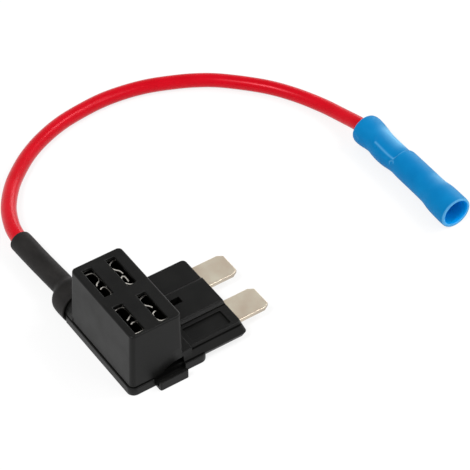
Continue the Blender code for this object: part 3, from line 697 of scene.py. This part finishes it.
def markPaleAndLitNylon(mesh):
    # Where the nylon is painted paler: painted highlights on the upper flank of the waist and flare, and
    # paler rims and creases; and where its inside is, which is painted brighter as painted light.
    facts, wearAndLight = spliceFacts, spliceFacts["wearAndLight"]
    end = facts["shape"][-1][0]
    far, near = wearAndLight["endRim"]
    pale = mesh.attributes.new("pale", "FLOAT", "POINT")
    inside = mesh.attributes.new("inside", "FLOAT", "POINT")
    for vert in mesh.vertices:
        s = facts["start"] - vert.co.y
        turn = math.atan2(vert.co.z - facts["z"], vert.co.x - facts["x"])
        out = math.hypot(vert.co.z - facts["z"], vert.co.x - facts["x"])
        degrees = math.degrees(turn) % 360
        inner = out < spliceOutside(s, turn) - wearAndLight["inner"]
        rim = smoothStep(s, end - far, end - near)
        rim += wearAndLight["startShare"] * (1 - smoothStep(s, *wearAndLight["startRim"]))
        flank = math.exp(-(((degrees - wearAndLight["flankAngle"]) / wearAndLight["flankSpread"]) ** 2))
        waist = wearAndLight["waistShare"] * risenBetween(s, *wearAndLight["waist"])
        flare = wearAndLight["flareShare"] * risenBetween(s, *wearAndLight["flare"])
        worn = wearAndLight["marks"] * spliceMarks(s, degrees) + wearAndLight["rim"] * rim
        worn += flank * (waist + flare + wearAndLight["flank"])
        pale.data[vert.index].value = wearAndLight["innerRim"] * rim if inner else min(worn, 1.0)
        inside.data[vert.index].value = 1.0 if inner else 0.0


def makeSpliceBarrel():
    facts = spliceFacts["barrel"]
    places = [facts["length"] * step / facts["steps"] for step in range(facts["steps"] + 1)]
    turns = turnsOf(facts["sides"])
    rings = []
    for column, most, run in ((0, facts["radius"], places), (1, facts["bore"], places[::-1])):
        for along in run:
            out = min(valuesAt(facts["shape"], along)[column], most)
            rings.append([splicePoint(facts["start"] + along, turn, out) for turn in turns])
    return finishPiece(tubePiece("spliceBarrel", rings), "tinned_brass", ["splice_barrel"], 50)


spliceSleeve = makeSpliceSleeve()
spliceBarrel = makeSpliceBarrel()
print("splice crimped")


headFacts = {
    "back": 0.1, "front": 10.35, "half": 9.55, "bottom": 2.0, "top": 13.1,
    "draftBack": 0.6, "draftFront": 0.05, "draftNear": 0.4, "draftFar": 0.1,
    "corner": 0.85, "edge": 0.34,
}
plugFacts = {
    "start": 8.8, "end": 22.85, "half": 9.5, "bottom": 1.0, "widest": 1.8, "top": 4.0,
    "underDraft": 0.3, "sideDraft": 0.88, "endDraft": 0.68, "corner": 0.8, "edge": 0.22,
    "ridge": {
        "near": -3.3, "far": 2.8, "slope": 0.55, "height": 0.5, "root": 0.3, "edge": 0.2, "end": 22.08,
        "groove": (-4.08, -3.84, 0.2),      # from where to where along Y, and how deep
    },
    "window": {
        "x": (12.1, 16.3), "y": (0.05, 1.4), "depth": 1.5, "lip": 0.06, "lipFoot": 0.055, "corner": 0.1,
    },
    "panel": {
        "x": (13.0, 20.5), "y": (-7.9, -4.7), "depth": 0.35, "lip": 0.08, "lipFoot": 0.075, "corner": 0.15,
    },
    "block": {
        "start": 9.75, "end": 12.1, "face": -9.2, "inner": -5.0, "bottom": 1.5, "top": 4.16, "edge": 0.16,
    },
    "line": {"x": (12.1, 22.9), "y": (-10.0, -8.62), "z": (3.2, 3.56)},
}
rowFacts = {
    "back": 2.85, "front": 7.95, "pitch": 9.3,
    "reach": 1.1, "half": 3.05, "plate": 0.75, "strip": 0.3, "gap": 0.3, "endRoom": 0.6,
}
slotFacts = {
    "lip": 0.25, "above": 0.006, "roof": 0.6, "corner": 0.12,
    # where each slot runs, along X and along Y
    "openings": (
        ((6.62, 8.25), (1.15, 8.0)), ((2.13, 3.8), (1.08, 8.02)), ((6.52, 8.1), (-8.42, -1.5)),
        ((1.95, 3.68), (-8.46, -1.62)),
    ),
}
neckFacts = {
    "x": 2.68, "z": 1.9, "radius": 2.7, "end": 13.6,
    "wireX": 2.75, "wireZ": 2.65, "bore": 1.65, "boreStart": 7.6,
    # the two halves: from what height to what height, and where along Y they start
    "upper": (2.0, 9.0, 8.55), "lower": (0.65, 1.7, 9.45),
}
channelFacts = {"half": 2.9, "bottom": 1.55, "top": 2.95, "farRoom": 1.4, "nearRoom": 1.35}
seatFacts = {"low": (-0.15, -9.85, -0.1), "high": (14.75, 9.85, 2.0), "corner": 1.4}


def cutLevel(bm, height, **options):
    parts = bm.verts[:] + bm.edges[:] + bm.faces[:]
    return bmesh.ops.bisect_plane(bm, geom=parts, plane_co=(0, 0, height), plane_no=(0, 0, 1), **options)


def headSolid():
    facts = headFacts
    half = facts["half"]
    bm = boxMesh((facts["back"], -half, facts["bottom"]), (facts["front"], half, facts["top"]))
    for vert in bm.verts:
        if vert.co.z > facts["top"] - 0.01:
            vert.co.x += facts["draftBack"] if vert.co.x < facts["front"] / 2 else -facts["draftFront"]
            vert.co.y += facts["draftNear"] if vert.co.y < 0 else -facts["draftFar"]
    roundOff(bm, uprightEdges(bm), facts["corner"], 8)
    roundOff(bm, borderAt(bm, facts["top"]), facts["edge"], 5)
    return meshPiece("head", bm)


def plugSolid():
    facts = plugFacts
    half = facts["half"]
    bm = boxMesh((facts["start"], -half, facts["bottom"]), (facts["end"], half, facts["top"]))
    roundOff(bm, uprightEdges(bm, lambda x, y: x > 20), facts["corner"], 6)
    cutLevel(bm, facts["widest"])
    for vert in bm.verts:
        side = math.copysign(1.0, vert.co.y)
        if vert.co.z > facts["top"] - 0.01:
            vert.co.y -= side * facts["sideDraft"]
            vert.co.x -= facts["endDraft"] if vert.co.x > 15 else 0.0
        elif vert.co.z < facts["bottom"] + 0.01:
            vert.co.y -= side * facts["underDraft"]
            vert.co.x -= facts["underDraft"] if vert.co.x > 15 else 0.0
    roundOff(bm, borderAt(bm, facts["top"]), facts["edge"], 4)
    return meshPiece("plug", bm)


def ridgeSolid():
    facts = plugFacts["ridge"]
    top = plugFacts["top"] + facts["height"]
    low = plugFacts["top"] - facts["root"]
    grown = facts["slope"] / facts["height"] * (top - low)
    bm = boxMesh((plugFacts["start"], facts["near"], low), (facts["end"], facts["far"], top))
    for vert in bm.verts:
        if vert.co.z < low + 0.01:
            vert.co.y += math.copysign(grown, vert.co.y)
    roundOff(bm, borderAt(bm, top), facts["edge"], 4)
    return meshPiece("ridge", bm)


def sideBlock():
    # The low block that stands between the head and the plug's near side.
    block = plugFacts["block"]
    low = (block["start"], block["face"], block["bottom"])
    bm = boxMesh(low, (block["end"], block["inner"], block["top"]))
    roundOff(bm, uprightEdges(bm, lambda x, y: x > 11 and y < -9), block["edge"], 3)
    roundOff(bm, borderAt(bm, block["top"]), block["edge"], 3)
    return meshPiece("sideBlock", bm)


def flaredCutter(name, low, high, lip, corner=0.0):
    # A box that opens out towards its top in a small round lip.
    bm = boxMesh(low, high)
    if corner:
        roundOff(bm, uprightEdges(bm), corner, 4)
    top = [face for face in bm.faces if face.normal.z > 0.9]
    steps = 4
    for step in range(1, steps + 1):
        turn = math.radians(90 * step / steps)
        before = math.radians(90 * (step - 1) / steps)
        rise = lip * (math.sin(turn) - math.sin(before))
        grow = lip * (math.cos(before) - math.cos(turn))
        top = growUp(bm, top, rise, grow)
    top = growUp(bm, top, 1.5, 0.0)
    return meshPiece(name, bm)


def growUp(bm, faces, rise, grow):
    out = bmesh.ops.extrude_face_region(bm, geom=faces)["geom"]
    bmesh.ops.delete(bm, geom=faces, context="FACES_ONLY")
    verts = [item for item in out if isinstance(item, bmesh.types.BMVert)]
    bmesh.ops.translate(bm, verts=verts, vec=(0, 0, rise))
    xs = [vert.co.x for vert in verts]
    ys = [vert.co.y for vert in verts]
    centre = Vector(((min(xs) + max(xs)) / 2, (min(ys) + max(ys)) / 2, 0))
    size = Vector((max(xs) - min(xs), max(ys) - min(ys), 1))
    bmesh.ops.scale(bm, verts=verts, vec=(1 + 2 * grow / size.x, 1 + 2 * grow / size.y, 1),
                    space=Matrix.Translation(-centre))
    return [item for item in out if isinstance(item, bmesh.types.BMFace)]


def cylinderAlongY(name, x, z, radius, low, high, sides=64):
    bm = bmesh.new()
    bmesh.ops.create_cone(bm, cap_ends=True, segments=sides, radius1=radius, radius2=radius,
                          depth=high - low)
    bmesh.ops.rotate(bm, verts=bm.verts, matrix=Matrix.Rotation(math.radians(90), 3, "X"))
    bmesh.ops.translate(bm, verts=bm.verts, vec=(x, (low + high) / 2, z))
    return meshPiece(name, bm)


def neckPart(name, low, high, start):
    facts = neckFacts
    bm = bmesh.new()
    made = cylinderAlongY(name, facts["x"], facts["z"], facts["radius"], start, facts["end"])
    bm.from_mesh(made.data)
    for height, up in ((low, False), (high, True)):
        cut = cutLevel(bm, height, clear_inner=not up, clear_outer=up)
        edges = [item for item in cut["geom_cut"] if isinstance(item, bmesh.types.BMEdge)]
        if edges:
            bmesh.ops.contextual_create(bm, geom=edges)
    bpy.data.objects.remove(made, do_unlink=True)
    return meshPiece(name, bm)


def wireWay():
    facts = neckFacts
    start, end = facts["boreStart"], facts["end"] + 1
    return cylinderAlongY("wireWay", facts["wireX"], facts["wireZ"], facts["bore"], start, end)


def socketRows():
    # Each socket: its row in X, which way its back plate faces, and its middle in Y.
    half = rowFacts["pitch"] / 2
    return ((rowFacts["front"], 1, half), (rowFacts["back"], -1, half),
            (rowFacts["front"], 1, -half), (rowFacts["back"], -1, -half))


def pocketCutters():
    facts = rowFacts
    roof = headFacts["top"] - slotFacts["roof"]
    cutters = []
    for rowX, facing, y in socketRows():
        back = rowX + facing * (facts["plate"] + facts["strip"] + facts["gap"])
        arms = rowX - facing * (facts["reach"] + facts["strip"] / 2 + facts["gap"])
        half = facts["half"] + facts["strip"] / 2 + facts["endRoom"]
        low = (min(back, arms), y - half, headFacts["bottom"] - 1)
        cutters.append(meshPiece("pocket", boxMesh(low, (max(back, arms), y + half, roof))))
    lip = slotFacts["lip"]
    for xs, ys in slotFacts["openings"]:
        foot = headFacts["top"] - lip + slotFacts["above"]
        low, high = (xs[0], ys[0], roof - 1), (xs[1], ys[1], foot)
        cutters.append(flaredCutter("slot", low, high, lip, slotFacts["corner"]))
    return cutters


def channelCutters():
    # The rooms of the two bus strips, from under the sockets out through the plug's end.
    facts, rows = channelFacts, rowFacts
    pitch = rows["pitch"] / 2
    made = []
    for start, y in ((rows["front"] - facts["farRoom"], pitch), (rows["back"] - facts["nearRoom"], -pitch)):
        low = (start, y - facts["half"], facts["bottom"])
        high = (plugFacts["end"] + 1, y + facts["half"], facts["top"])
        made.append(meshPiece("channel", boxMesh(low, high)))
    return made


scoopFacts = {
    # middle in X and Z, how far it reaches in X and Z, depth, and how softly it starts
    "hollow": (10.9, 1.9, 4.8, 1.3, 0.9, 0.8),
    "lean": (10.4, 1.6, 6.2, 5.0, 0.3, 1.8),
    "front": 10.4, "start": 4.0, "farStart": 5.7, "low": 0.5, "high": 7.4,
    "clear": 0.02,      # how far outside the wall the sheet is beside the hollow
    "grid": 72,
}


def scoopDepth(x, z):
    total = -scoopFacts["clear"]
    for midX, midZ, wide, tall, depth, fade in (scoopFacts["hollow"], scoopFacts["lean"]):
        across = ((x - midX) / wide) ** 2 + ((z - midZ) / tall) ** 2
        total += depth * max(1 - across, 0.0) ** fade
    return total


def scoopCutter(side):
    # A hollow beside the latch: a sheet that sinks into the head's side, closed outside it.
    facts, head = scoopFacts, headFacts
    start = facts["farStart"] if side > 0 else facts["start"]
    low, high = facts["low"], facts["high"]
    bm = bmesh.new()
    bmesh.ops.create_grid(bm, x_segments=facts["grid"], y_segments=facts["grid"], size=0.5)
    for vert in bm.verts:
        x = start + (vert.co.x + 0.5) * (facts["front"] - start)
        z = low + (vert.co.y + 0.5) * (high - low)
        rise = (z - head["bottom"]) / (head["top"] - head["bottom"])
        wall = head["half"] - (head["draftNear"] if side < 0 else head["draftFar"]) * rise
        vert.co = (x, side * (wall - scoopDepth(x, z)), z)
    out = bmesh.ops.extrude_face_region(bm, geom=bm.faces[:])["geom"]
    for item in out:
        if isinstance(item, bmesh.types.BMVert):
            item.co.y = side * (head["half"] + 1.5)
    return meshPiece("scoop", bm)


def openingCutter(name, top):
    # The window or the pocket, in a face of the plug at this height.
    facts = plugFacts[name]
    (left, right), (near, far) = facts["x"], facts["y"]
    low, high = (left, near, top - facts["depth"]), (right, far, top - facts["lipFoot"])
    return flaredCutter(name, low, high, facts["lip"], facts["corner"])


def plugCutters():
    facts = plugFacts
    top, line = facts["top"], facts["line"]
    near, far, deep = facts["ridge"]["groove"]
    groove = boxMesh((headFacts["front"] - 0.5, near, top - deep), (facts["end"] + 1, far, top + 0.3))
    return [
        meshPiece("line", boxMesh(*zip(line["x"], line["y"], line["z"]))),
        meshPiece("groove", groove),
        openingCutter("window", top + facts["ridge"]["height"]),
        openingCutter("panel", top),
    ]


def makeHousing():
    neck = neckPart("neckTop", *neckFacts["upper"])
    body = combine(headSolid(), "UNION", [plugSolid(), ridgeSolid(), neck])
    combine(body, "DIFFERENCE", plugCutters())
    combine(body, "UNION", [sideBlock()])
    # room for the cover, with corners as round as the cover's and a little more
    bm = boxMesh(seatFacts["low"], seatFacts["high"])
    roundOff(bm, uprightEdges(bm, lambda x, y: x > 5), seatFacts["corner"], 8)
    seat = meshPiece("seat", bm)
    combine(body, "DIFFERENCE", pocketCutters() + channelCutters())
    combine(body, "DIFFERENCE", [seat, wireWay(), scoopCutter(1), scoopCutter(-1)])
    body.name = "mouldedHousing"
    return finishPiece(body, "black_nylon", ["main_housing"], 32, True)


makeHousing()
print("housing moulded")


coverFacts = {
    "back": -0.15, "front": 14.9, "half": 9.75, "thick": 1.7, "corner": 1.3, "edge": 0.16,
    "rim": 1.3, "rimMore": 0.04, "recess": 0.2, "tongue": 5.45, "tongueEnd": 10.45,
    "latch": {"x": (4.65, 10.1), "farX": 6.2, "slit": 0.3, "undercut": 0.75, "floor": 0.6, "reach": 11.2,
              "strip": 0.7, "height": 1.85, "corner": 0.28, "edge": 0.12},
}


def coverPlate():
    facts = coverFacts
    half = facts["half"]
    bm = boxMesh((facts["back"], -half, 0.0), (facts["front"], half, facts["thick"]))
    roundOff(bm, uprightEdges(bm, lambda x, y: x > 5 or y < 0), facts["corner"], 8)
    roundOff(bm, borderAt(bm, facts["thick"]), facts["edge"], 3)
    roundOff(bm, borderAt(bm, 0.0), facts["edge"], 3)
    return meshPiece("cover", bm)


def tonguePiece():
    facts = coverFacts
    high = (facts["tongue"], facts["tongueEnd"], facts["thick"])
    bm = boxMesh((facts["back"], facts["half"] - 1.0, 0.0), high)
    along = [edge for edge in bm.edges if abs(edge.verts[0].co.y - edge.verts[1].co.y) > 0.5]
    roundOff(bm, along, facts["edge"], 3)
    return meshPiece("tongue", bm)


def latchPieces(side):
    facts = coverFacts
    latch = facts["latch"]
    start = latch["farX"] if side > 0 else latch["x"][0]
    end = latch["x"][1]
    behind = facts["half"] - latch["undercut"]
    ys = sorted((side * behind, side * (facts["half"] + 1)))
    trough = meshPiece("trough", boxMesh((start - latch["slit"], ys[0], latch["floor"]),
                                         (end + latch["slit"], ys[1], facts["thick"] + 1)))
    ys = sorted((side * (behind - 1), side * (latch["reach"] - latch["strip"] / 2)))
    floor = meshPiece("latchFloor", boxMesh((start, ys[0], 0.0), (end, ys[1], latch["floor"])))
    ys = sorted((side * (latch["reach"] - latch["strip"]), side * latch["reach"]))
    bm = boxMesh((start, ys[0], 0.0), (end, ys[1], latch["height"]))
    roundOff(bm, uprightEdges(bm), latch["corner"], 5)
    roundOff(bm, borderAt(bm, latch["height"]), latch["edge"], 3)
    roundOff(bm, borderAt(bm, 0.0), latch["edge"], 3)
    return trough, floor, meshPiece("latchStrip", bm)


def makeCover():
    facts = coverFacts
    cover = combine(coverPlate(), "UNION", [tonguePiece()])
    inner = facts["half"] - facts["rim"] - facts["rimMore"]
    recess = meshPiece("recess", boxMesh((facts["rim"], -inner, facts["thick"] - facts["recess"]),
                                         (facts["front"] + 1, inner, facts["thick"] + 1)))
    combine(cover, "DIFFERENCE", [recess])
    for side in (1, -1):
        trough, floor, strip = latchPieces(side)
        combine(cover, "DIFFERENCE", [trough])
        combine(cover, "UNION", [floor, strip])
    combine(cover, "UNION", [neckPart("neckBottom", *neckFacts["lower"])])
    combine(cover, "DIFFERENCE", [wireWay()])
    cover.name = "clipCover"
    return finishPiece(cover, "black_nylon", ["base_cover"], 32, True)


makeCover()
print("cover moulded")


terminalFacts = {
    "bladeWidth": 5.2, "bladeThick": 0.8, "bladeZ": 2.25, "tip": 28.8, "tipCut": (1.0, 0.6), "root": 13.5,
    "busWidth": 4.4, "edge": 0.1,
    "bottom": 5.0, "top": 12.18, "strip": 0.24, "rounded": 0.05,
    "plateTop": 6.0, "plateBottom": 2.25, "tapBottom": 2.45,
    "crimp": {"x": 2.9, "z": 3.0, "radius": 1.1, "bore": 0.8, "y": (4.2, 6.8), "sides": 40},
    "cutBack": 0.8, "cutIn": 0.03,      # the sheared sides: how far back they go, and off the edges
}


def bladeSolid(start, y):
    # Bus strip and blade from one box, with the end corners cut off and the edges coined.
    facts = terminalFacts
    half = facts["bladeWidth"] / 2
    thick = facts["bladeThick"] / 2
    low, high = facts["bladeZ"] - thick, facts["bladeZ"] + thick
    bm = boxMesh((facts["root"], y - half, low), (facts["tip"], y + half, high))
    lengthCut, widthCut = facts["tipCut"]
    for edge in uprightEdges(bm, lambda x, _: x > 20):
        out = bmesh.ops.bevel(bm, geom=[edge], offset=0.5, affect="EDGES", segments=1, profile=0.5,
                              material=-1)
        verts = sorted(out["verts"], key=lambda vert: vert.co.x)
        for vert in verts[:2]:
            vert.co.x = facts["tip"] - lengthCut
        for vert in verts[2:]:
            vert.co.y = y + math.copysign(half - widthCut, vert.co.y - y)
    for height in (low, high):
        roundOff(bm, borderAt(bm, height), facts["edge"], 3)
    blade = meshPiece("blade", bm)
    narrow = facts["busWidth"] / 2
    bus = meshPiece("bus", boxMesh((start, y - narrow, low), (facts["root"] + 0.5, y + narrow, high)))
    return combine(blade, "UNION", [bus])


# Middle line of each rolled socket seen from above, from the tip of its near arm, round its
# near end, along its back plate and round its far end to the tip of its far arm
socketLines = {
    "frontFar": (
        (7.61, 2.62), (7.67, 3.04), (7.68, 3.45), (7.62, 3.95), (7.4, 4.13), (7.15, 4.02),
        (6.95, 3.78), (6.84, 3.3), (6.88, 2.75), (7.1, 2.38), (7.3, 2.1), (7.58, 1.88),
        (7.97, 1.73), (8.4, 1.66), (8.72, 1.8), (8.85, 2.15), (8.85, 4.7), (8.85, 7.5),
        (8.76, 7.9), (8.5, 8.05), (8.1, 8.03), (7.71, 7.93), (7.34, 7.74), (7.05, 7.5),
        (6.88, 7.1), (6.9, 6.6), (7.08, 6.22), (7.28, 5.88), (7.5, 5.67), (7.68, 5.4),
        (7.77, 5.05), (7.8, 4.6),
    ),
    "backFar": (
        (2.9, 3.62), (3.15, 3.78), (3.44, 3.83), (3.71, 3.74), (3.9, 3.35), (3.97, 2.8),
        (3.96, 2.35), (3.86, 1.85), (3.5, 1.6), (2.9, 1.55), (2.35, 1.58), (2.03, 1.75),
        (1.95, 2.1), (1.95, 4.7), (1.95, 7.2), (2.05, 7.55), (2.35, 7.7), (2.92, 7.68),
        (3.5, 7.58), (3.78, 7.35), (3.95, 6.96), (4.01, 6.54), (3.99, 6.08), (3.87, 5.62),
        (3.6, 5.33), (3.3, 5.15), (2.95, 4.9), (2.76, 4.58),
    ),
    "frontNear": (
        (7.68, -5.36), (7.28, -5.44), (6.95, -5.68), (6.82, -6.05), (6.76, -6.6), (6.9, -7.22),
        (7.1, -7.55), (7.5, -7.76), (8.0, -7.79), (8.5, -7.85), (8.77, -7.65), (8.85, -7.3),
        (8.85, -4.6), (8.85, -1.9), (8.76, -1.55), (8.5, -1.43), (8.0, -1.48), (7.5, -1.61),
        (6.98, -1.84), (6.76, -2.15), (6.68, -2.6), (6.76, -3.1), (7.01, -3.51), (7.31, -3.82),
        (7.53, -4.13), (7.7, -4.48),
    ),
    "backNear": (
        (2.82, -5.68), (3.05, -5.55), (3.4, -5.48), (3.8, -5.55), (3.98, -5.85), (4.03, -6.5),
        (4.0, -7.2), (3.9, -7.6), (3.62, -7.78), (3.1, -7.84), (2.5, -7.82), (2.1, -7.7),
        (1.95, -7.35), (1.95, -4.6), (1.95, -2.0), (2.05, -1.7), (2.4, -1.57), (2.9, -1.55),
        (3.4, -1.57), (3.78, -1.75), (3.96, -2.1), (4.03, -2.7), (4.03, -3.4), (3.9, -3.9),
        (3.6, -4.07), (3.25, -4.33), (2.98, -4.5), (2.74, -4.62),
    ),
}


def finerLine(points, parts):
    # A smooth line through the points. Its direction at a point is the mean of the two sides'.
    rows = [Vector(point) for point in points]
    ways = [(b - a).normalized() for a, b in zip(rows, rows[1:])]
    ways = [ways[0]] + [(a + b) / 2 for a, b in zip(ways, ways[1:])] + [ways[-1]]
    line = []
    for start, end, out, into in zip(rows, rows[1:], ways, ways[1:]):
        length = (end - start).length
        for part in range(parts if length < 1.5 else 1):
            t = part / parts
            line.append(
                (2 * t**3 - 3 * t**2 + 1) * start + (t**3 - 2 * t**2 + t) * length * out
                + (3 * t**2 - 2 * t**3) * end + (t**3 - t**2) * length * into
            )
    line.append(rows[-1])
    return line


def socketSolid(name):
    # A strip stood on its edge along the rolled line, with its cut edge a little rounded.
    facts = terminalFacts
    line = finerLine(socketLines[name], 3)
    half = facts["strip"] / 2
    sides = ([], [])
    for i, point in enumerate(line):
        along = (line[min(i + 1, len(line) - 1)] - line[max(i - 1, 0)]).normalized()
        aside = Vector((-along.y, along.x)) * half
        sides[0].append(point + aside)
        sides[1].append(point - aside)
    bm = bmesh.new()
    first = bmesh.ops.create_vert(bm, co=(*sides[0][0], facts["bottom"]))["vert"][0]
    last = first
    for point in sides[0][1:] + sides[1][::-1]:
        last = bmesh.ops.extrude_vert_indiv(bm, verts=[last])["verts"][0]
        last.co = (*point, facts["bottom"])
    bmesh.ops.contextual_create(bm, geom=[last, first])
    face = bmesh.ops.contextual_create(bm, geom=bm.edges[:])["faces"]
    out = bmesh.ops.extrude_face_region(bm, geom=face)["geom"]
    top = [item for item in out if isinstance(item, bmesh.types.BMVert)]
    bmesh.ops.translate(bm, verts=top, vec=(0, 0, facts["top"] - facts["bottom"]))
    roundOff(bm, borderAt(bm, facts["top"]), facts["rounded"], 2)
    return meshPiece("socket", bm)


def uprightPlate(rowX, facing, y, bottom):
    facts, rows = terminalFacts, rowFacts
    near = rowX + facing * rows["plate"]
    far = near + facing * rows["strip"]
    half = facts["busWidth"] / 2
    low, high = (min(near, far), y - half, bottom), (max(near, far), y + half, facts["plateTop"])
    return meshPiece("upright", boxMesh(low, high))


def makeTerminals():
    facts, rows = terminalFacts, rowFacts
    half = rows["pitch"] / 2
    reach = rows["plate"] + rows["strip"] / 2
    bottom = facts["plateBottom"]
    load = bladeSolid(rows["front"] + reach, half)
    combine(load, "UNION", [uprightPlate(rows["front"], 1, half, bottom), socketSolid("frontFar")])
    line = bladeSolid(rows["back"] - reach, -half)
    for rowX, facing, name in ((rows["front"], 1, "frontNear"), (rows["back"], -1, "backNear")):
        combine(line, "UNION", [uprightPlate(rowX, facing, -half, bottom), socketSolid(name)])
    crimp = facts["crimp"]
    x, z, sides = crimp["x"], crimp["z"], crimp["sides"]
    low, high = crimp["y"]
    tap = uprightPlate(rows["back"], -1, half, facts["tapBottom"])
    tube = cylinderAlongY("crimp", x, z, crimp["radius"], low, high, sides)
    combine(tap, "UNION", [socketSolid("backFar"), tube])
    combine(tap, "DIFFERENCE", [cylinderAlongY("bore", x, z, crimp["bore"], low - 1, high + 1, sides)])
    made = (
        (load, "loadTerminal", "load_terminal"), (line, "lineTerminal", "line_terminal"),
        (tap, "tapTerminal", "tap_terminal"),
    )
    pieces = []
    for piece, name, node in made:
        piece.name = name
        pieces.append(finishPiece(piece, "tinned_brass", [node], 32, True))
    return pieces


def markCutEdges(piece):
    # The sheared sides of the blades, outside the plug, show duller metal.
    facts = terminalFacts
    half = facts["bladeThick"] / 2 - facts["cutIn"]
    marks = piece.data.attributes.new("cutEdge", "FLOAT", "POINT")
    for vert in piece.data.vertices:
        x, z = vert.co.x / millimetre + middle.x, vert.co.z / millimetre
        bare = x > plugFacts["end"] - facts["cutBack"]
        marks.data[vert.index].value = 1.0 if bare and abs(z - facts["bladeZ"]) < half else 0.0


for terminal in makeTerminals():
    markCutEdges(terminal)
print("terminals stamped")


studio = {
    "floorSize": 3.0,
    "floorShade": 0.9,
    "floorWhite": 0.8,       # share of the floor's white that shadows don't touch
    "world": 0.56,           # light that the surroundings give
    "overhead": 0.25,        # how bright gloss sees them straight above, where they aren't white
    "darkFrom": 0.1,         # height in the sky where that starts
    "white": (1.0, 1.0, 1.0, 1.0),
    "lamps": (
        # name, place, what it points at, width and height, watts
        ("keyLamp", (-0.33, -0.065, 0.5), (0.03, 0.02, 0.0), (0.2, 0.2), 2.1),
        ("topLamp", (0.37, -0.136, 0.47), (0.013, 0.05, 0.0), (0.2, 0.2), 1.05),
        ("frontLamp", (0.24, -0.38, 0.43), (0.004, -0.005, 0.0), (0.25, 0.25), 0.6),
        ("sideLamp", (0.6, 0.33, 0.24), (0.054, 0.01, 0.005), (0.5, 0.25), 0.9),
    ),
}


def seenDirectly(tree):
    # 1 for rays from the camera, from gloss and through glass, else 0.
    path = addNode(tree, "LightPath", {}, {}).outputs
    seen = maths(tree, "MAXIMUM", path["Is Camera Ray"], path["Is Glossy Ray"])
    return maths(tree, "MAXIMUM", seen, path["Is Transmission Ray"])


def makeFloor():
    bm = bmesh.new()
    bmesh.ops.create_grid(bm, x_segments=1, y_segments=1, size=studio["floorSize"] / 2)
    mesh = bpy.data.meshes.new("floor")
    bm.to_mesh(mesh)
    bm.free()
    floor = bpy.data.objects.new("floor", mesh)
    scene.collection.objects.link(floor)
    made = bpy.data.materials.new("paleFloor")
    made.use_nodes = True
    tree = made.node_tree
    tree.nodes.clear()
    shade = studio["floorShade"]
    matt = addNode(tree, "BsdfDiffuse", {"Color": (shade, shade, shade, 1.0)}, {})
    glow = addNode(tree, "Emission", {"Color": studio["white"], "Strength": 1.0}, {})
    share = addNode(tree, "Math", {1: studio["floorWhite"]}, {0: seenDirectly(tree)}, operation="MULTIPLY")
    links = {"Fac": share.outputs[0], 1: matt.outputs["BSDF"], 2: glow.outputs["Emission"]}
    mixed = addNode(tree, "MixShader", {}, links)
    addNode(tree, "OutputMaterial", {}, {"Surface": mixed.outputs["Shader"]})
    mesh.materials.append(made)


def makeWorld():
    world = bpy.data.worlds.new("studio")
    scene.world = world
    world.use_nodes = True
    tree = world.node_tree
    background = tree.nodes["Background"]
    background.inputs["Color"].default_value = studio["white"]
    # gloss sees the surroundings a little darker overhead, white at the sides
    direction = addNode(tree, "TexCoord", {}, {}).outputs["Generated"]
    height = addNode(tree, "SeparateXYZ", {}, {"Vector": direction}).outputs["Z"]
    above = spread(tree, height, studio["darkFrom"], 1.0, 1.0, studio["overhead"])
    glossy = addNode(tree, "LightPath", {}, {}).outputs["Is Glossy Ray"]
    white = addNode(tree, "Mix", {"A": 1.0}, {"Factor": glossy, "B": above})
    links = {"Factor": seenDirectly(tree), "B": white.outputs["Result"]}
    strength = addNode(tree, "Mix", {"A": studio["world"]}, links)
    tree.links.new(strength.outputs["Result"], background.inputs["Strength"])


def makeLamps():
    for name, place, target, size, watts in studio["lamps"]:
        lamp = bpy.data.lights.new(name, "AREA")
        lamp.shape = "ELLIPSE"
        lamp.size, lamp.size_y = size
        lamp.energy = watts
        made = bpy.data.objects.new(name, lamp)
        made.location = place
        made.rotation_mode = "QUATERNION"
        made.rotation_quaternion = (Vector(target) - Vector(place)).to_track_quat("-Z", "Y")
        scene.collection.objects.link(made)


makeFloor()
makeWorld()
makeLamps()
scene.view_settings.view_transform = "Standard"
print("studio lit")
